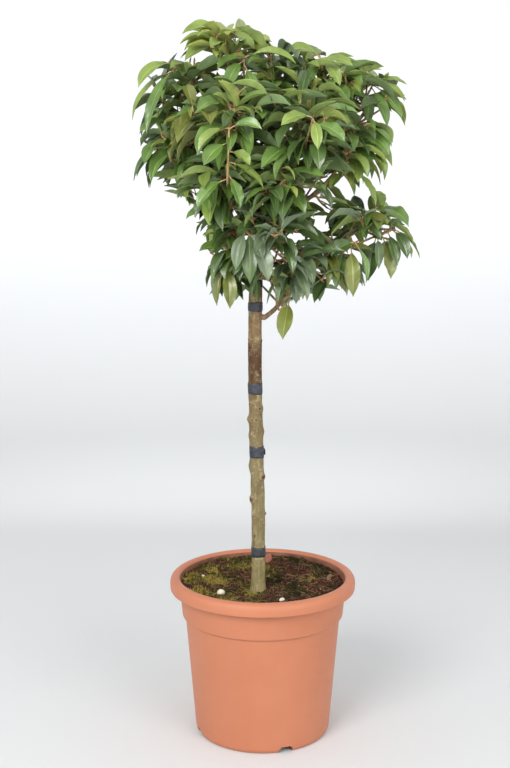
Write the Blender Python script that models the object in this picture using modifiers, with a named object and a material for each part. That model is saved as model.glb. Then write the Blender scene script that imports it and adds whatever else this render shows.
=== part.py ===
"""A standard laurel in its pot: one clear stem under a loose, leafy head.

The stem stands in the soil of a round nursery pot. Boughs leave it inside the head, and each one
ends where it enters a mass of foliage: twigs that branch from one stem, with leaves fused on.
Units are metres and +Z is up. The origin is the centre of the pot's flat underside.
"""

import math
import random

import bmesh
import bpy
from mathutils import Matrix, Vector, noise
from mathutils.bvhtree import BVHTree

SEED = 1299
CLEAR = 0.0003                  # gap kept between neighbouring solids

# Pot: a tapered shell with a collar and a turned-over rim
POT_SIDES = 32
POT_HEIGHT = 0.234
POT_FLOOR = 0.003
BASE_RADIUS = 0.0988
WALL = 0.0026
SHOULDER_RADIUS = 0.1131        # outer wall just under the collar
COLLAR_Z = 0.1735               # where the collar steps out
COLLAR_STEP = 0.0044
COLLAR_TOP_RADIUS = 0.1225
RIM_RADIUS = 0.1356
RIM_DROP = 0.0185               # height of the rim's turned-down lip
LIP = 0.0023                    # thickness of that lip
DRAIN_COUNT = 4
DRAIN_WIDTH = 0.0205
DRAIN_HEIGHT = 0.0078
DRAIN_TURN = math.radians(19.5)  # turn of the first drain notch from +X

# Soil
SOIL_TOP = 0.2160               # level at the stem's foot
SOIL_RISE = 0.0065              # how much higher it lies at the wall
SOIL_LUMPS = 0.004
FOOT_PAD = 0.020                # flat ring of soil round the stem

# Stem (the trunk): a long, slightly leaning and slightly swaying limb
TRUNK_FOOT = Vector((-0.0068, -0.020, SOIL_TOP + CLEAR))
TRUNK_TIP = Vector((-0.0125, -0.002, 0.800))
TRUNK_RADIUS = 0.0097
TRUNK_FLARE = 0.0024            # extra radius at the foot
FLARE_HEIGHT = 0.022
TRUNK_TIP_RADIUS = 0.0068
HEAD_BASE = 0.640               # where the stem starts to thin, inside the head
TRUNK_POINTS = 14
SWAY = 0.0013

# Ties round the stem: height of each band's middle
TIE_HEIGHTS = (0.2740, 0.4205, 0.5120, 0.6275, 0.6600)
TIE_TALL = (0.0145, 0.0170, 0.0160, 0.0130, 0.0110)
TIE_THICK = 0.0009
TIE_SIDES = 10

# Boughs
BOUGH_RADIUS = 0.0042
BOUGH_TIP_RADIUS = 0.0026
BOUGH_POINTS = 5
BOUGH_LEVEL = 0.004             # short level run out of the stem

# Twigs and leaves; angles are in degrees
STEM_RADIUS = 0.0022
STEM_START = 0.003              # short straight start of a mass's stem
TWIG_RADIUS = 0.0015
TWIG_REACH = (0.36, 0.56)       # how far out in its mass a twig ends
TWIG_BORDER = 0.004             # its tip's least distance from the next mass
TWIG_LEAST = 0.02               # its least length
TWIG_TRIES = 14
LEAF_LENGTH = 0.090
LEAF_WIDTH = 0.035
LEAF_THICK = 0.0012
LEAF_ROOT = 0.0007              # how far a leaf's root passes the twig's axis
LEAF_TILT = (35, 75)            # between a twig and its leaves
LEAF_RISE = 8.0                 # how much a leaf rises as it leaves its twig, in a hanging mass
LEAF_LIFT = 30.0                # and how much more in a fully lifted mass
LEAF_STRAY = 15                 # how far that varies
LEAF_BEND = (55, 115)           # how much a leaf arches over
LEAF_LEAST_BEND = 15
LEAF_HANG = 84                  # the steepest that its tip hangs
LEAF_ROLL = 0.6                 # turn about its own midrib, in radians
LEAF_SIZE = (0.76, 1.04)
LEAVES_PER_TWIG = 7
FIRST_LEAF, LAST_LEAF = 0.30, 0.96   # where along a twig they grow
ROOT_PART = 0.10                # the part of a leaf, from its root, that may touch its fellows
LEAF_TRIES = 56
GOLDEN = math.radians(137.508)
SQUASH = 0.85                   # a mass is this much less wide than tall
SPACE_GAP = 0.0006              # how far a mass keeps inside its own space
LIMB_GAP = 0.0010

# Masses: name, right, back and height of the middle, reach, where its bough leaves the stem,
# number of twigs, and how strongly its twigs and leaves are lifted
MASSES = (
    ("top_left",     -0.048, -0.012, 0.954, 0.080, 0.790, 4, 0.9),
    ("top_middle",    0.022, -0.026, 0.912, 0.079, 0.800, 4, 0.8),
    ("top_right",     0.086, -0.014, 0.904, 0.078, 0.780, 4, 0.7),
    ("top_back",      0.014,  0.080, 0.890, 0.086, 0.775, 4, 0.7),
    ("left_high",    -0.106,  0.008, 0.900, 0.080, 0.760, 4, 0.5),
    ("left_low",     -0.102, -0.032, 0.836, 0.074, 0.715, 4, 0.3),
    ("right_high",    0.138,  0.014, 0.892, 0.075, 0.765, 4, 0.5),
    ("right_middle",  0.112, -0.042, 0.832, 0.074, 0.730, 4, 0.3),
    ("front_left",   -0.050, -0.090, 0.850, 0.086, 0.745, 4, 0.5),
    ("front_right",   0.044, -0.094, 0.850, 0.088, 0.755, 4, 0.5),
    ("front_low",     0.024, -0.088, 0.790, 0.082, 0.700, 4, 0.2),
    ("front_side",   -0.054, -0.064, 0.784, 0.076, 0.705, 4, 0.2),
    ("back_left",    -0.074,  0.086, 0.835, 0.086, 0.735, 4, 0.5),
    ("back_right",    0.080,  0.092, 0.835, 0.086, 0.740, 4, 0.5),
    ("low_left",     -0.034, -0.022, 0.704, 0.076, 0.677, 4, 0.0),
    ("low_front",     0.010, -0.082, 0.730, 0.070, 0.688, 3, 0.0),
    ("low_middle",    0.062, -0.022, 0.698, 0.084, 0.613, 4, 0.1),
    ("low_right",     0.144,  0.005, 0.738, 0.080, 0.680, 4, 0.2),
    ("low_back",     -0.005,  0.078, 0.742, 0.084, 0.696, 4, 0.3),
)

COLOURS = {                     # base colour and roughness
    "pot": ((0.72, 0.30, 0.17), 0.5),
    "soil": ((0.05, 0.04, 0.02), 0.95),
    "trunk": ((0.30, 0.27, 0.15), 0.8),
    "tie": ((0.03, 0.04, 0.07), 0.6),
    "bough": ((0.25, 0.14, 0.09), 0.75),
    "leaf": ((0.09, 0.17, 0.04), 0.45),
}


# ---------------------------------------------------------------- scene helpers

def clear_scene():
    for obj in list(bpy.data.objects):
        bpy.data.objects.remove(obj, do_unlink=True)


def collection(name):
    made = bpy.data.collections.new(name)
    bpy.context.scene.collection.children.link(made)
    return made


def material(key):
    name = key + "_material"
    found = bpy.data.materials.get(name)
    if found:
        return found
    colour, roughness = COLOURS[key]
    made = bpy.data.materials.new(name)
    made.use_nodes = True
    shader = made.node_tree.nodes["Principled BSDF"]
    shader.inputs["Base Color"].default_value = (*colour, 1.0)
    shader.inputs["Roughness"].default_value = roughness
    shader.inputs["Metallic"].default_value = 0.0
    return made


def add_object(name, mesh, home, key=None):
    obj = bpy.data.objects.new(name, mesh)
    home.objects.link(obj)
    if key:
        mesh.materials.clear()
        mesh.materials.append(material(key))
    return obj


def from_bmesh(bm, name):
    mesh = bpy.data.meshes.new(name)
    bm.to_mesh(mesh)
    bm.free()
    return mesh


def applied(obj):
    """The object's evaluated mesh, with its modifiers in it."""
    graph = bpy.context.evaluated_depsgraph_get()
    graph.update()
    return bpy.data.meshes.new_from_object(obj.evaluated_get(graph))


# ---------------------------------------------------------------- turned shapes

def turned(name, profile, sides, home, key):
    """Turn a profile of (radius, height) points about the Z axis."""
    bm = bmesh.new()
    points = [bm.verts.new((radius, 0.0, height)) for radius, height in profile]
    for first, second in zip(points, points[1:]):
        bm.edges.new((first, second))
    obj = add_object(name, from_bmesh(bm, name), home, key)
    screw = obj.modifiers.new("turn", "SCREW")
    screw.axis = "Z"
    screw.angle = math.tau
    screw.steps = sides
    screw.render_steps = sides
    screw.use_merge_vertices = True
    screw.merge_threshold = 0.0001
    screw.use_smooth_shade = True
    return obj


def inner_wall(height):
    """Inner radius of the pot at a height."""
    shoulder = COLLAR_Z + 0.001
    ledge = COLLAR_Z + 0.004
    if height <= shoulder:
        part = (height - POT_FLOOR) / (shoulder - POT_FLOOR)
        return (BASE_RADIUS - WALL - 0.0018) * (1 - part) + (SHOULDER_RADIUS - WALL) * part
    if height <= ledge:
        part = (height - shoulder) / (ledge - shoulder)
        return SHOULDER_RADIUS - WALL + COLLAR_STEP * part
    part = (height - ledge) / (POT_HEIGHT - 0.0055 - ledge)
    low = SHOULDER_RADIUS - WALL + COLLAR_STEP
    return low * (1 - part) + (COLLAR_TOP_RADIUS - WALL) * part


def pot_profile():
    top = POT_HEIGHT
    lip_foot = top - RIM_DROP
    under = top - 0.0075
    shoulder, ledge = COLLAR_Z + 0.001, COLLAR_Z + 0.004
    return [
        (0.0, POT_FLOOR),
        (inner_wall(POT_FLOOR), POT_FLOOR),
        (inner_wall(shoulder), shoulder),
        (inner_wall(ledge), ledge),
        (inner_wall(top - 0.0055), top - 0.0055),
        (COLLAR_TOP_RADIUS, top - 0.0010),
        (COLLAR_TOP_RADIUS + 0.0060, top),
        (RIM_RADIUS - 0.0020, top - 0.0028),
        (RIM_RADIUS, top - 0.0085),
        (RIM_RADIUS - 0.0008, lip_foot),
        (RIM_RADIUS - 0.0008 - LIP, lip_foot),
        (RIM_RADIUS - 0.0012 - LIP, under),
        (COLLAR_TOP_RADIUS, under),
        (SHOULDER_RADIUS + COLLAR_STEP, COLLAR_Z + 0.0025),
        (SHOULDER_RADIUS, COLLAR_Z),
        (BASE_RADIUS, 0.005),
        (BASE_RADIUS - 0.0033, 0.0),
        (0.0, 0.0),
    ]


def build_pot(parts, cutters):
    pot = turned("pot", pot_profile(), POT_SIDES, parts, "pot")
    for index in range(DRAIN_COUNT):
        turn = DRAIN_TURN + index * math.tau / DRAIN_COUNT
        bm = bmesh.new()
        bmesh.ops.create_cube(bm, size=1.0)
        bmesh.ops.scale(bm, vec=(0.016, DRAIN_WIDTH, 2 * DRAIN_HEIGHT), verts=bm.verts)
        cutter = add_object("drain_cutter_%d" % index, from_bmesh(bm, "drain_cutter"), cutters)
        radius = BASE_RADIUS - 0.003
        cutter.location = (radius * math.cos(turn), radius * math.sin(turn), 0.0)
        cutter.rotation_euler = (0.0, 0.0, turn)
        cutter.hide_render = True
        cutter.display_type = "WIRE"
        cut = pot.modifiers.new("drain_%d" % index, "BOOLEAN")
        cut.operation = "DIFFERENCE"
        cut.solver = "EXACT"
        cut.object = cutter
    return pot


def soil_height(x, y):
    """Lumpy top of the soil: flat at the stem's foot, higher towards the wall."""
    away = math.hypot(x - TRUNK_FOOT.x, y - TRUNK_FOOT.y)
    blend = min(max((away - FOOT_PAD) / 0.030, 0.0), 1.0)
    rise = SOIL_RISE * (math.hypot(x, y) / 0.118) ** 2
    lumps = SOIL_LUMPS * noise.noise(Vector((x * 28.0, y * 28.0, 3.7)))
    mound = 0.003 * math.exp(-((x - 0.055) ** 2 + (y - 0.070) ** 2) / 0.0010)
    return SOIL_TOP + blend * (rise + lumps + mound)


def build_soil(parts):
    rings = (0.018, 0.040, 0.066, 0.092)
    edge = SOIL_TOP + SOIL_RISE
    shoulder, ledge = COLLAR_Z + 0.001, COLLAR_Z + 0.004
    inset = 1.5 * CLEAR
    profile = [(0.0, SOIL_TOP)]
    profile += [(radius, SOIL_TOP) for radius in rings]
    profile += [
        (inner_wall(edge) - inset, edge),
        (inner_wall(ledge) - inset, ledge + CLEAR),
        (inner_wall(shoulder) - inset, shoulder + CLEAR),
        (inner_wall(POT_FLOOR) - inset, POT_FLOOR + CLEAR),
        (0.0, POT_FLOOR + CLEAR),
    ]
    rough = turned("soil_rough", profile, POT_SIDES, parts, "soil")
    mesh = applied(rough)
    bpy.data.objects.remove(rough, do_unlink=True)
    for vertex in mesh.vertices:
        x, y, z = vertex.co
        if z > SOIL_TOP - 0.001:
            level = soil_height(x, y)
            spread = math.hypot(x, y)
            if spread > 0.1:
                keep = (inner_wall(level) - inset) / spread
                vertex.co.x, vertex.co.y = x * keep, y * keep
            vertex.co.z = level
    return add_object("soil", mesh, parts, "soil")


# ---------------------------------------------------------------- limbs

def trunk_centre(height):
    part = (height - TRUNK_FOOT.z) / (TRUNK_TIP.z - TRUNK_FOOT.z)
    centre = TRUNK_FOOT.lerp(TRUNK_TIP, part)
    centre.x += SWAY * math.sin(part * 9.0)
    centre.y += SWAY * math.sin(part * 7.0 + 1.0) - SWAY * math.sin(1.0)
    return centre


def trunk_radius(height):
    flare = TRUNK_FLARE * math.exp(-(height - TRUNK_FOOT.z) / FLARE_HEIGHT * 2.2)
    thin = min(max((height - HEAD_BASE) / (TRUNK_TIP.z - HEAD_BASE), 0.0), 1.0)
    return TRUNK_RADIUS + flare - (TRUNK_RADIUS - TRUNK_TIP_RADIUS) * thin


def tube(name, points, radii, resolution, home, key):
    """A tapering limb: a curve with a bevel, made a mesh with its caps welded on."""
    curve = bpy.data.curves.new(name + "_line", "CURVE")
    curve.dimensions = "3D"
    curve.bevel_depth = 1.0
    curve.bevel_resolution = resolution
    curve.use_fill_caps = True
    spline = curve.splines.new("POLY")
    spline.points.add(len(points) - 1)
    for place, point, radius in zip(spline.points, points, radii):
        place.co = (*point, 1.0)
        place.radius = radius
    line = bpy.data.objects.new(name + "_line", curve)
    home.objects.link(line)
    mesh = applied(line)
    bpy.data.objects.remove(line, do_unlink=True)
    bm = bmesh.new()
    bm.from_mesh(mesh)
    bmesh.ops.remove_doubles(bm, verts=bm.verts, dist=0.00001)
    bm.to_mesh(mesh)
    bm.free()
    mesh.name = name
    mesh.shade_smooth()
    mesh.set_sharp_from_angle(angle=math.radians(50))
    return add_object(name, mesh, home, key)


def build_trunk(parts):
    heights = [TRUNK_FOOT.z, TRUNK_FOOT.z + 0.008]
    span = TRUNK_TIP.z - heights[-1]
    heights += [heights[1] + span * step / (TRUNK_POINTS - 2) for step in range(1, TRUNK_POINTS - 1)]
    points = [trunk_centre(height) for height in heights]
    points[1].xy = points[0].xy          # the foot is cut level
    radii = [trunk_radius(height) for height in heights]
    return tube("trunk", points, radii, 4, parts, "trunk")


def build_ties(parts):
    for index, (height, tall) in enumerate(zip(TIE_HEIGHTS, TIE_TALL), 1):
        low, high = trunk_centre(height - tall / 2), trunk_centre(height + tall / 2)
        reach = max(trunk_radius(height - tall / 2), trunk_radius(height + tall / 2))
        radius = (reach + CLEAR) / math.cos(math.pi / TIE_SIDES)
        bm = bmesh.new()
        bmesh.ops.create_cone(bm, cap_ends=False, segments=TIE_SIDES, radius1=radius,
                              radius2=radius, depth=tall)
        band = add_object("tie_band_%d" % index, from_bmesh(bm, "tie_band"), parts, "tie")
        band.data.shade_smooth()
        band.location = (low + high) / 2
        band.rotation_mode = "QUATERNION"
        band.rotation_quaternion = Vector((0, 0, 1)).rotation_difference(high - low)
        shell = band.modifiers.new("tape", "SOLIDIFY")
        shell.thickness = TIE_THICK
        shell.offset = 1.0
        shell.use_even_offset = True


# ---------------------------------------------------------------- the head's layout

class Mass:
    """One mass of foliage: its middle, its reach, and the limb that carries it."""

    def __init__(self, index, row):
        self.index = index
        (self.name, right, back, height, self.reach, self.start, self.twigs, self.lift) = row
        self.middle = Vector((right, back, height))
        self.rng = random.Random(SEED * 100 + index)
        self.path = []                  # the limb's points from the trunk to the middle
        self.entry = 0                  # index on the path where the mass begins


def border(mass, masses, point):
    """Distance from a point to the nearest border of the mass's own space, inside positive."""
    nearest = 1.0
    own = (point - mass.middle).length_squared - mass.reach ** 2
    for other in masses:
        if other is not mass:
            theirs = (point - other.middle).length_squared - other.reach ** 2
            span = 2 * (other.middle - mass.middle).length
            nearest = min(nearest, (theirs - own) / span)
    return nearest


def bezier(a, b, c, d, t):
    s = 1 - t
    return a * s ** 3 + b * (3 * s * s * t) + c * (3 * s * t * t) + d * t ** 3


def lay_limb(mass, masses):
    """The limb's path, from the trunk's side or tip, out and up to the mass's middle."""
    height = mass.start
    centre = trunk_centre(height)
    toward = mass.middle - centre
    level = Vector((toward.x, toward.y, 0.0)).normalized()
    if height >= TRUNK_TIP.z - 0.0001:
        first = TRUNK_TIP + Vector((0, 0, CLEAR))
        out = Vector((0, 0, 1))
    else:
        slope = (trunk_centre(height + 0.01) - trunk_centre(height - 0.01)) / 0.02
        shift = BOUGH_RADIUS * 1.15 * abs(slope.dot(level))
        first = centre + level * (trunk_radius(height - BOUGH_RADIUS) + shift + CLEAR)
        out = level
    second = first + out * BOUGH_LEVEL
    length = (mass.middle - second).length
    rise = Vector((0, 0, 1))
    handle_a = second + (out * 0.55 + rise * 0.35) * length * 0.45
    handle_b = mass.middle - (toward.normalized() * 0.6 + rise * 0.3) * length * 0.35
    fine = 40
    path = [first] + [bezier(second, handle_a, handle_b, mass.middle, step / fine)
                      for step in range(fine + 1)]
    entry = len(path) - 1
    while entry > 1 and border(mass, masses, path[entry - 1]) > 0.006:
        entry -= 1
    entry = max(entry, int(len(path) * 0.45))
    mass.path, mass.entry = path, entry
    mass.direction = (path[entry] - path[entry - 1]).normalized()


def bough_line(mass):
    """The bough's own points and radii: the path up to the mass."""
    end = mass.path[mass.entry] - mass.direction * CLEAR
    run = mass.path[:mass.entry]
    picks = [0, 1] + [1 + round((len(run) - 1) * step / (BOUGH_POINTS - 2))
                      for step in range(1, BOUGH_POINTS - 2)]
    points = [run[min(pick, len(run) - 1)] for pick in picks]
    points = [point for number, point in enumerate(points) if number < 2 or
              (point - points[number - 1]).length > 0.004]
    points = [point for point in points if (point - end).length > 0.006 or point in points[:2]]
    points.append(end)
    count = len(points)
    radii = [BOUGH_RADIUS + (BOUGH_TIP_RADIUS - BOUGH_RADIUS) * step / (count - 1)
             for step in range(count)]
    radii[0] *= 1.15
    return points, radii


def frames(points):
    """A steady frame (direction, side, up) at each point of a line."""
    out = []
    side = None
    for number, point in enumerate(points):
        before = points[max(number - 1, 0)]
        after = points[min(number + 1, len(points) - 1)]
        direction = (after - before).normalized()
        if side is None:
            side = direction.orthogonal().normalized()
        side = (side - direction * side.dot(direction)).normalized()
        out.append((direction, side, direction.cross(side)))
    return out


def prism_mesh(name, points, radii, roll=0.0, sides=3):
    """A thin twig with a few flat sides along a bent line, closed at both ends."""
    bm = bmesh.new()
    rings = []
    for point, radius, (_, side, up) in zip(points, radii, frames(points)):
        rings.append([bm.verts.new(point + (side * math.cos(turn) + up * math.sin(turn)) * radius)
                      for turn in (roll + math.tau * step / sides for step in range(sides))])
    for low, high in zip(rings, rings[1:]):
        for step in range(sides):
            after = (step + 1) % sides
            bm.faces.new((low[step], low[after], high[after], high[step]))
    bm.faces.new(list(reversed(rings[0])))
    bm.faces.new(rings[-1])
    return from_bmesh(bm, name)


# ---------------------------------------------------------------- leaves

class Leaf:
    """A blade that leaves its twig at a pitch and arches down along its length."""

    def __init__(self, root, heading, pitch, bend, length, width, roll):
        self.root, self.heading, self.pitch = root, heading, pitch
        self.bend, self.length, self.width, self.roll = bend, length, width, roll

    def spine(self, part):
        """The midrib's place, direction, side and upward normal at a part of its length."""
        angle = self.pitch - self.bend * part
        radius = self.length / self.bend
        run = radius * (math.sin(self.pitch) - math.sin(angle))
        rise = radius * (math.cos(angle) - math.cos(self.pitch))
        level = Vector((math.cos(self.heading), math.sin(self.heading), 0.0))
        place = self.root + level * run + Vector((0, 0, rise))
        along = level * math.cos(angle) + Vector((0, 0, math.sin(angle)))
        side = level.cross(Vector((0, 0, 1)))
        turn = Matrix.Rotation(self.roll, 3, along)
        side = turn @ side
        return place, along, side, side.cross(along)


def leaf_vertices(leaf):
    """Six corners of the plain blade: root, tip, two edges and the two faces of its middle."""
    start, along, _, _ = leaf.spine(0.0)
    tip, _, _, _ = leaf.spine(1.0)
    middle, _, side, up = leaf.spine(0.48)
    half, thick = leaf.width / 2, LEAF_THICK / 2
    fold = up * (leaf.width * 0.10)
    return {
        "root": start - along * LEAF_ROOT,
        "tip": tip,
        "left": middle + side * half + fold * 0.5,
        "right": middle - side * half + fold * 0.5,
        "top": middle + up * thick - fold * 0.3,
        "under": middle - up * thick - fold * 0.3,
    }


def leaf_mesh(leaf):
    """An eight-faced primitive, pulled out to the blade's six corners."""
    bm = bmesh.new()
    bmesh.ops.create_uvsphere(bm, u_segments=4, v_segments=2, radius=1.0)
    corners = leaf_vertices(leaf)
    for vertex in bm.verts:
        x, y, z = vertex.co
        if abs(z) > 0.5:
            vertex.co = corners["tip" if z > 0 else "root"]
        elif abs(x) > 0.5:
            vertex.co = corners["left" if x > 0 else "right"]
        else:
            vertex.co = corners["under" if y > 0 else "top"]
    bmesh.ops.recalc_face_normals(bm, faces=bm.faces)
    return from_bmesh(bm, "leaf")


def blade_sheet(leaf, start=0.0):
    """The blade as a flat fan of four triangles, for clearance tests."""
    corners = leaf_vertices(leaf)
    root = corners["root"] if start == 0.0 else leaf.spine(start)[0]
    points = [root, corners["left"], corners["tip"], corners["right"],
              (corners["top"] + corners["under"]) / 2]
    return points, [(0, 1, 4), (1, 2, 4), (2, 3, 4), (3, 0, 4)]


def limb_tree(lines, extra):
    """A search tree over square sleeves round limbs, each a little wider than its limb."""
    points, faces = [], []
    for line, radii in lines:
        first = len(points)
        for point, radius, (_, side, up) in zip(line, radii, frames(line)):
            wide = (radius + extra) * 1.35
            points += [point + side * wide, point + up * wide, point - side * wide, point - up * wide]
        for ring in range(len(line) - 1):
            low = first + 4 * ring
            for step in range(4):
                after = (step + 1) % 4
                faces.append((low + step, low + after, low + 4 + after, low + 4 + step))
    return BVHTree.FromPolygons(points, faces)


def fits(leaf, mass, masses, limbs, own):
    """Whether the blade keeps to its mass's space, clear of the limbs and of its fellows."""
    corners = leaf_vertices(leaf)
    for point in corners.values():
        if border(mass, masses, point) < SPACE_GAP:
            return False
    for point in corners.values():
        away = point - mass.middle
        away.z *= SQUASH
        if away.length > mass.reach:
            return False
    points, faces = blade_sheet(leaf)
    if BVHTree.FromPolygons(points, faces).overlap(limbs):
        return False
    points, faces = blade_sheet(leaf, ROOT_PART)
    sheet = BVHTree.FromPolygons(points, faces)
    return not any(sheet.overlap(other) for other in own)


def mass_stem(mass):
    """The stem inside a mass: from the bough's tip through the mass's middle."""
    start = mass.path[mass.entry]
    stem = [start, start + mass.direction * STEM_START]
    if (mass.middle - start).length > 4 * STEM_START:
        stem.append(mass.middle)
    stem.append(stem[-1] + (stem[-1] - stem[-2]).normalized() * mass.reach * 0.10)
    return stem


def mass_twigs(mass, masses, limbs, stem, phase):
    """Twigs that fork from the stem and spread round the mass's own axis, and up."""
    rng = mass.rng
    core = Vector((TRUNK_TIP.x, TRUNK_TIP.y, TRUNK_TIP.z - 0.03))
    axis = ((mass.middle - core).normalized() + Vector((0, 0, mass.lift))).normalized()
    side = axis.orthogonal().normalized()
    across = axis.cross(side)
    twigs = []
    for twig in range(mass.twigs):
        spread = 1.0 - (twig + 0.5) / mass.twigs * 1.05
        turn = phase + twig * GOLDEN
        ring = math.sqrt(max(0.0, 1.0 - spread * spread))
        way = axis * spread + (side * math.cos(turn) + across * math.sin(turn)) * ring
        way = (way + Vector((0, 0, 0.25 + 0.35 * mass.lift))).normalized()
        base = stem[1].lerp(mass.middle, 0.45 + 0.5 * rng.random())
        end = mass.middle + way * mass.reach * rng.uniform(*TWIG_REACH)
        for _ in range(TWIG_TRIES):
            line = ([base, end], [TWIG_RADIUS * 1.15, TWIG_RADIUS * 0.85])
            if (border(mass, masses, end) > TWIG_BORDER and (end - base).length > TWIG_LEAST and
                    not limb_tree([line], 0.0005).overlap(limbs)):
                twigs.append(line)
                break
            end = end.lerp(mass.middle + axis * mass.reach * 0.3, 0.18)
    return twigs


def sprout(rng, root, along, swing, lift, scale):
    """A leaf as it leaves its twig: outwards and a little upwards, then arching over."""
    tilt = math.radians(rng.uniform(*LEAF_TILT))
    first = along.orthogonal().normalized()
    second = along.cross(first)
    out = along * math.cos(tilt) + (first * math.cos(swing) + second * math.sin(swing)) * math.sin(tilt)
    rise = math.radians(LEAF_RISE + LEAF_LIFT * lift + rng.uniform(-LEAF_STRAY, LEAF_STRAY))
    pitch = 0.5 * math.asin(max(-1.0, min(1.0, out.z))) + rise
    bend = min(math.radians(rng.uniform(*LEAF_BEND)), pitch + math.radians(LEAF_HANG))
    size = rng.uniform(*LEAF_SIZE) * scale
    return Leaf(root, math.atan2(out.y, out.x), pitch, max(bend, math.radians(LEAF_LEAST_BEND)),
                LEAF_LENGTH * size, LEAF_WIDTH * size, rng.uniform(-LEAF_ROLL, LEAF_ROLL))


def mass_leaves(mass, masses, limbs, lines, phase):
    """Leaves in a spiral along each twig, where there is room for them."""
    rng = mass.rng
    wood = limb_tree(lines, 0.0)
    leaves, sheets = [], []
    for twig, (line, _) in enumerate(lines[1:]):
        base, end = line
        along = (end - base).normalized()
        for number in range(LEAVES_PER_TWIG):
            place = FIRST_LEAF + (LAST_LEAF - FIRST_LEAF) * (number / (LEAVES_PER_TWIG - 1)) ** 0.8
            root = base.lerp(end, place)
            for attempt in range(LEAF_TRIES):
                stray = (rng.random() - 0.5) * (0.4 + 0.15 * attempt)
                swing = phase + twig + number * GOLDEN + stray
                leaf = sprout(rng, root, along, swing, mass.lift, 1.0 - 0.007 * attempt)
                if fits(leaf, mass, masses, limbs, sheets + [wood]):
                    leaves.append(leaf)
                    sheets.append(BVHTree.FromPolygons(*blade_sheet(leaf, ROOT_PART)))
                    break
    return leaves


def grow(mass, masses, limbs):
    """The mass's stem and twigs as lines with their radii, and the leaves on the twigs."""
    stem = mass_stem(mass)
    phase = mass.rng.uniform(0.0, math.tau)
    lines = [(stem, [STEM_RADIUS] * len(stem))] + mass_twigs(mass, masses, limbs, stem, phase)
    return lines, mass_leaves(mass, masses, limbs, lines, phase)


# ---------------------------------------------------------------- foliage solids

def largest_body(mesh):
    """Keep the mesh's biggest piece: loose scraps go and sealed hollows are filled."""
    bm = bmesh.new()
    bm.from_mesh(mesh)
    bmesh.ops.triangulate(bm, faces=bm.faces)
    left = set(bm.verts)
    bodies = []
    while left:
        queue = [left.pop()]
        body = set(queue)
        while queue:
            vertex = queue.pop()
            for edge in vertex.link_edges:
                other = edge.other_vert(vertex)
                if other in left:
                    left.discard(other)
                    body.add(other)
                    queue.append(other)
        bodies.append(body)
    bodies.sort(key=len)
    spare = [vertex for body in bodies[:-1] for vertex in body]
    bmesh.ops.delete(bm, geom=spare, context="VERTS")
    bm.to_mesh(mesh)
    bm.free()


def fuse(name, lines, leaves, parts):
    """Join the stem, twigs and leaves of a mass into one solid."""
    pieces = collection(name + "_pieces")
    stem_line, stem_radii = lines[0]
    target = add_object(name + "_stem", prism_mesh(name, stem_line, stem_radii), parts, "leaf")
    for number, (line, radii) in enumerate(lines[1:], 1):
        add_object("twig", prism_mesh("twig", line, radii, roll=0.45 * number), pieces)
    for leaf in leaves:
        add_object("leaf", leaf_mesh(leaf), pieces)
    union = target.modifiers.new("join", "BOOLEAN")
    union.operation = "UNION"
    union.operand_type = "COLLECTION"
    union.collection = pieces
    union.solver = "EXACT"
    mesh = applied(target)
    for obj in list(pieces.objects) + [target]:
        bpy.data.objects.remove(obj, do_unlink=True)
    bpy.data.collections.remove(pieces)
    largest_body(mesh)
    return add_object(name, mesh, parts, "leaf")


# ---------------------------------------------------------------- the whole plant

def layout():
    masses = [Mass(index, row) for index, row in enumerate(MASSES)]
    for mass in masses:
        lay_limb(mass, masses)
    heights = [TRUNK_FOOT.z + (TRUNK_TIP.z - TRUNK_FOOT.z) * step / 20 for step in range(21)]
    lines = [([trunk_centre(height) for height in heights],
              [trunk_radius(height) for height in heights])]
    lines += [bough_line(mass) for mass in masses]
    return masses, limb_tree(lines, LIMB_GAP)


def main():
    clear_scene()
    parts = collection("laurel_standard")
    cutters = collection("cutters")
    build_pot(parts, cutters)
    build_soil(parts)
    build_trunk(parts)
    build_ties(parts)
    masses, limbs = layout()
    for mass in masses:
        points, radii = bough_line(mass)
        tube("bough_" + mass.name, points, radii, 1, parts, "bough")
        lines, leaves = grow(mass, masses, limbs)
        fuse("foliage_" + mass.name, lines, leaves, parts)


if __name__ == "__main__":
    main()
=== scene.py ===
"""A standard laurel in its pot: the looks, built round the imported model's frame."""
import math
import random
from itertools import product

import bmesh
import bpy
from mathutils import Matrix, Vector, noise
from mathutils.bvhtree import BVHTree


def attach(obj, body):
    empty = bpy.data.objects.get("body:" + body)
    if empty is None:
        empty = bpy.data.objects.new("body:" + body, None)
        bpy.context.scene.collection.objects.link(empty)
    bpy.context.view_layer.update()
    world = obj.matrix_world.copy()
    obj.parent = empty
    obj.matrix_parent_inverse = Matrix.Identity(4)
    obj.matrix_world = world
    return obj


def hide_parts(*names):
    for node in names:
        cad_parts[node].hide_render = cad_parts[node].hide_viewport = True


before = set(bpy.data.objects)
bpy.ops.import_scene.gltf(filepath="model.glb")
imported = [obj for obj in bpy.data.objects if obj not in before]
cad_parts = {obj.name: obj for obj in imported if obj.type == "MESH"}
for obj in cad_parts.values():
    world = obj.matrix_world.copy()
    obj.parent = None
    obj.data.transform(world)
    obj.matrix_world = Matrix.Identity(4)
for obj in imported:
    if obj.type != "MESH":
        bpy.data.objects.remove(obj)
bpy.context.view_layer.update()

scene = bpy.context.scene
UP = Vector((0, 0, 1))

# ---------------------------------------------------------------- sizes shared with the solids
SEED = 1299
CLEAR = 0.0003

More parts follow.
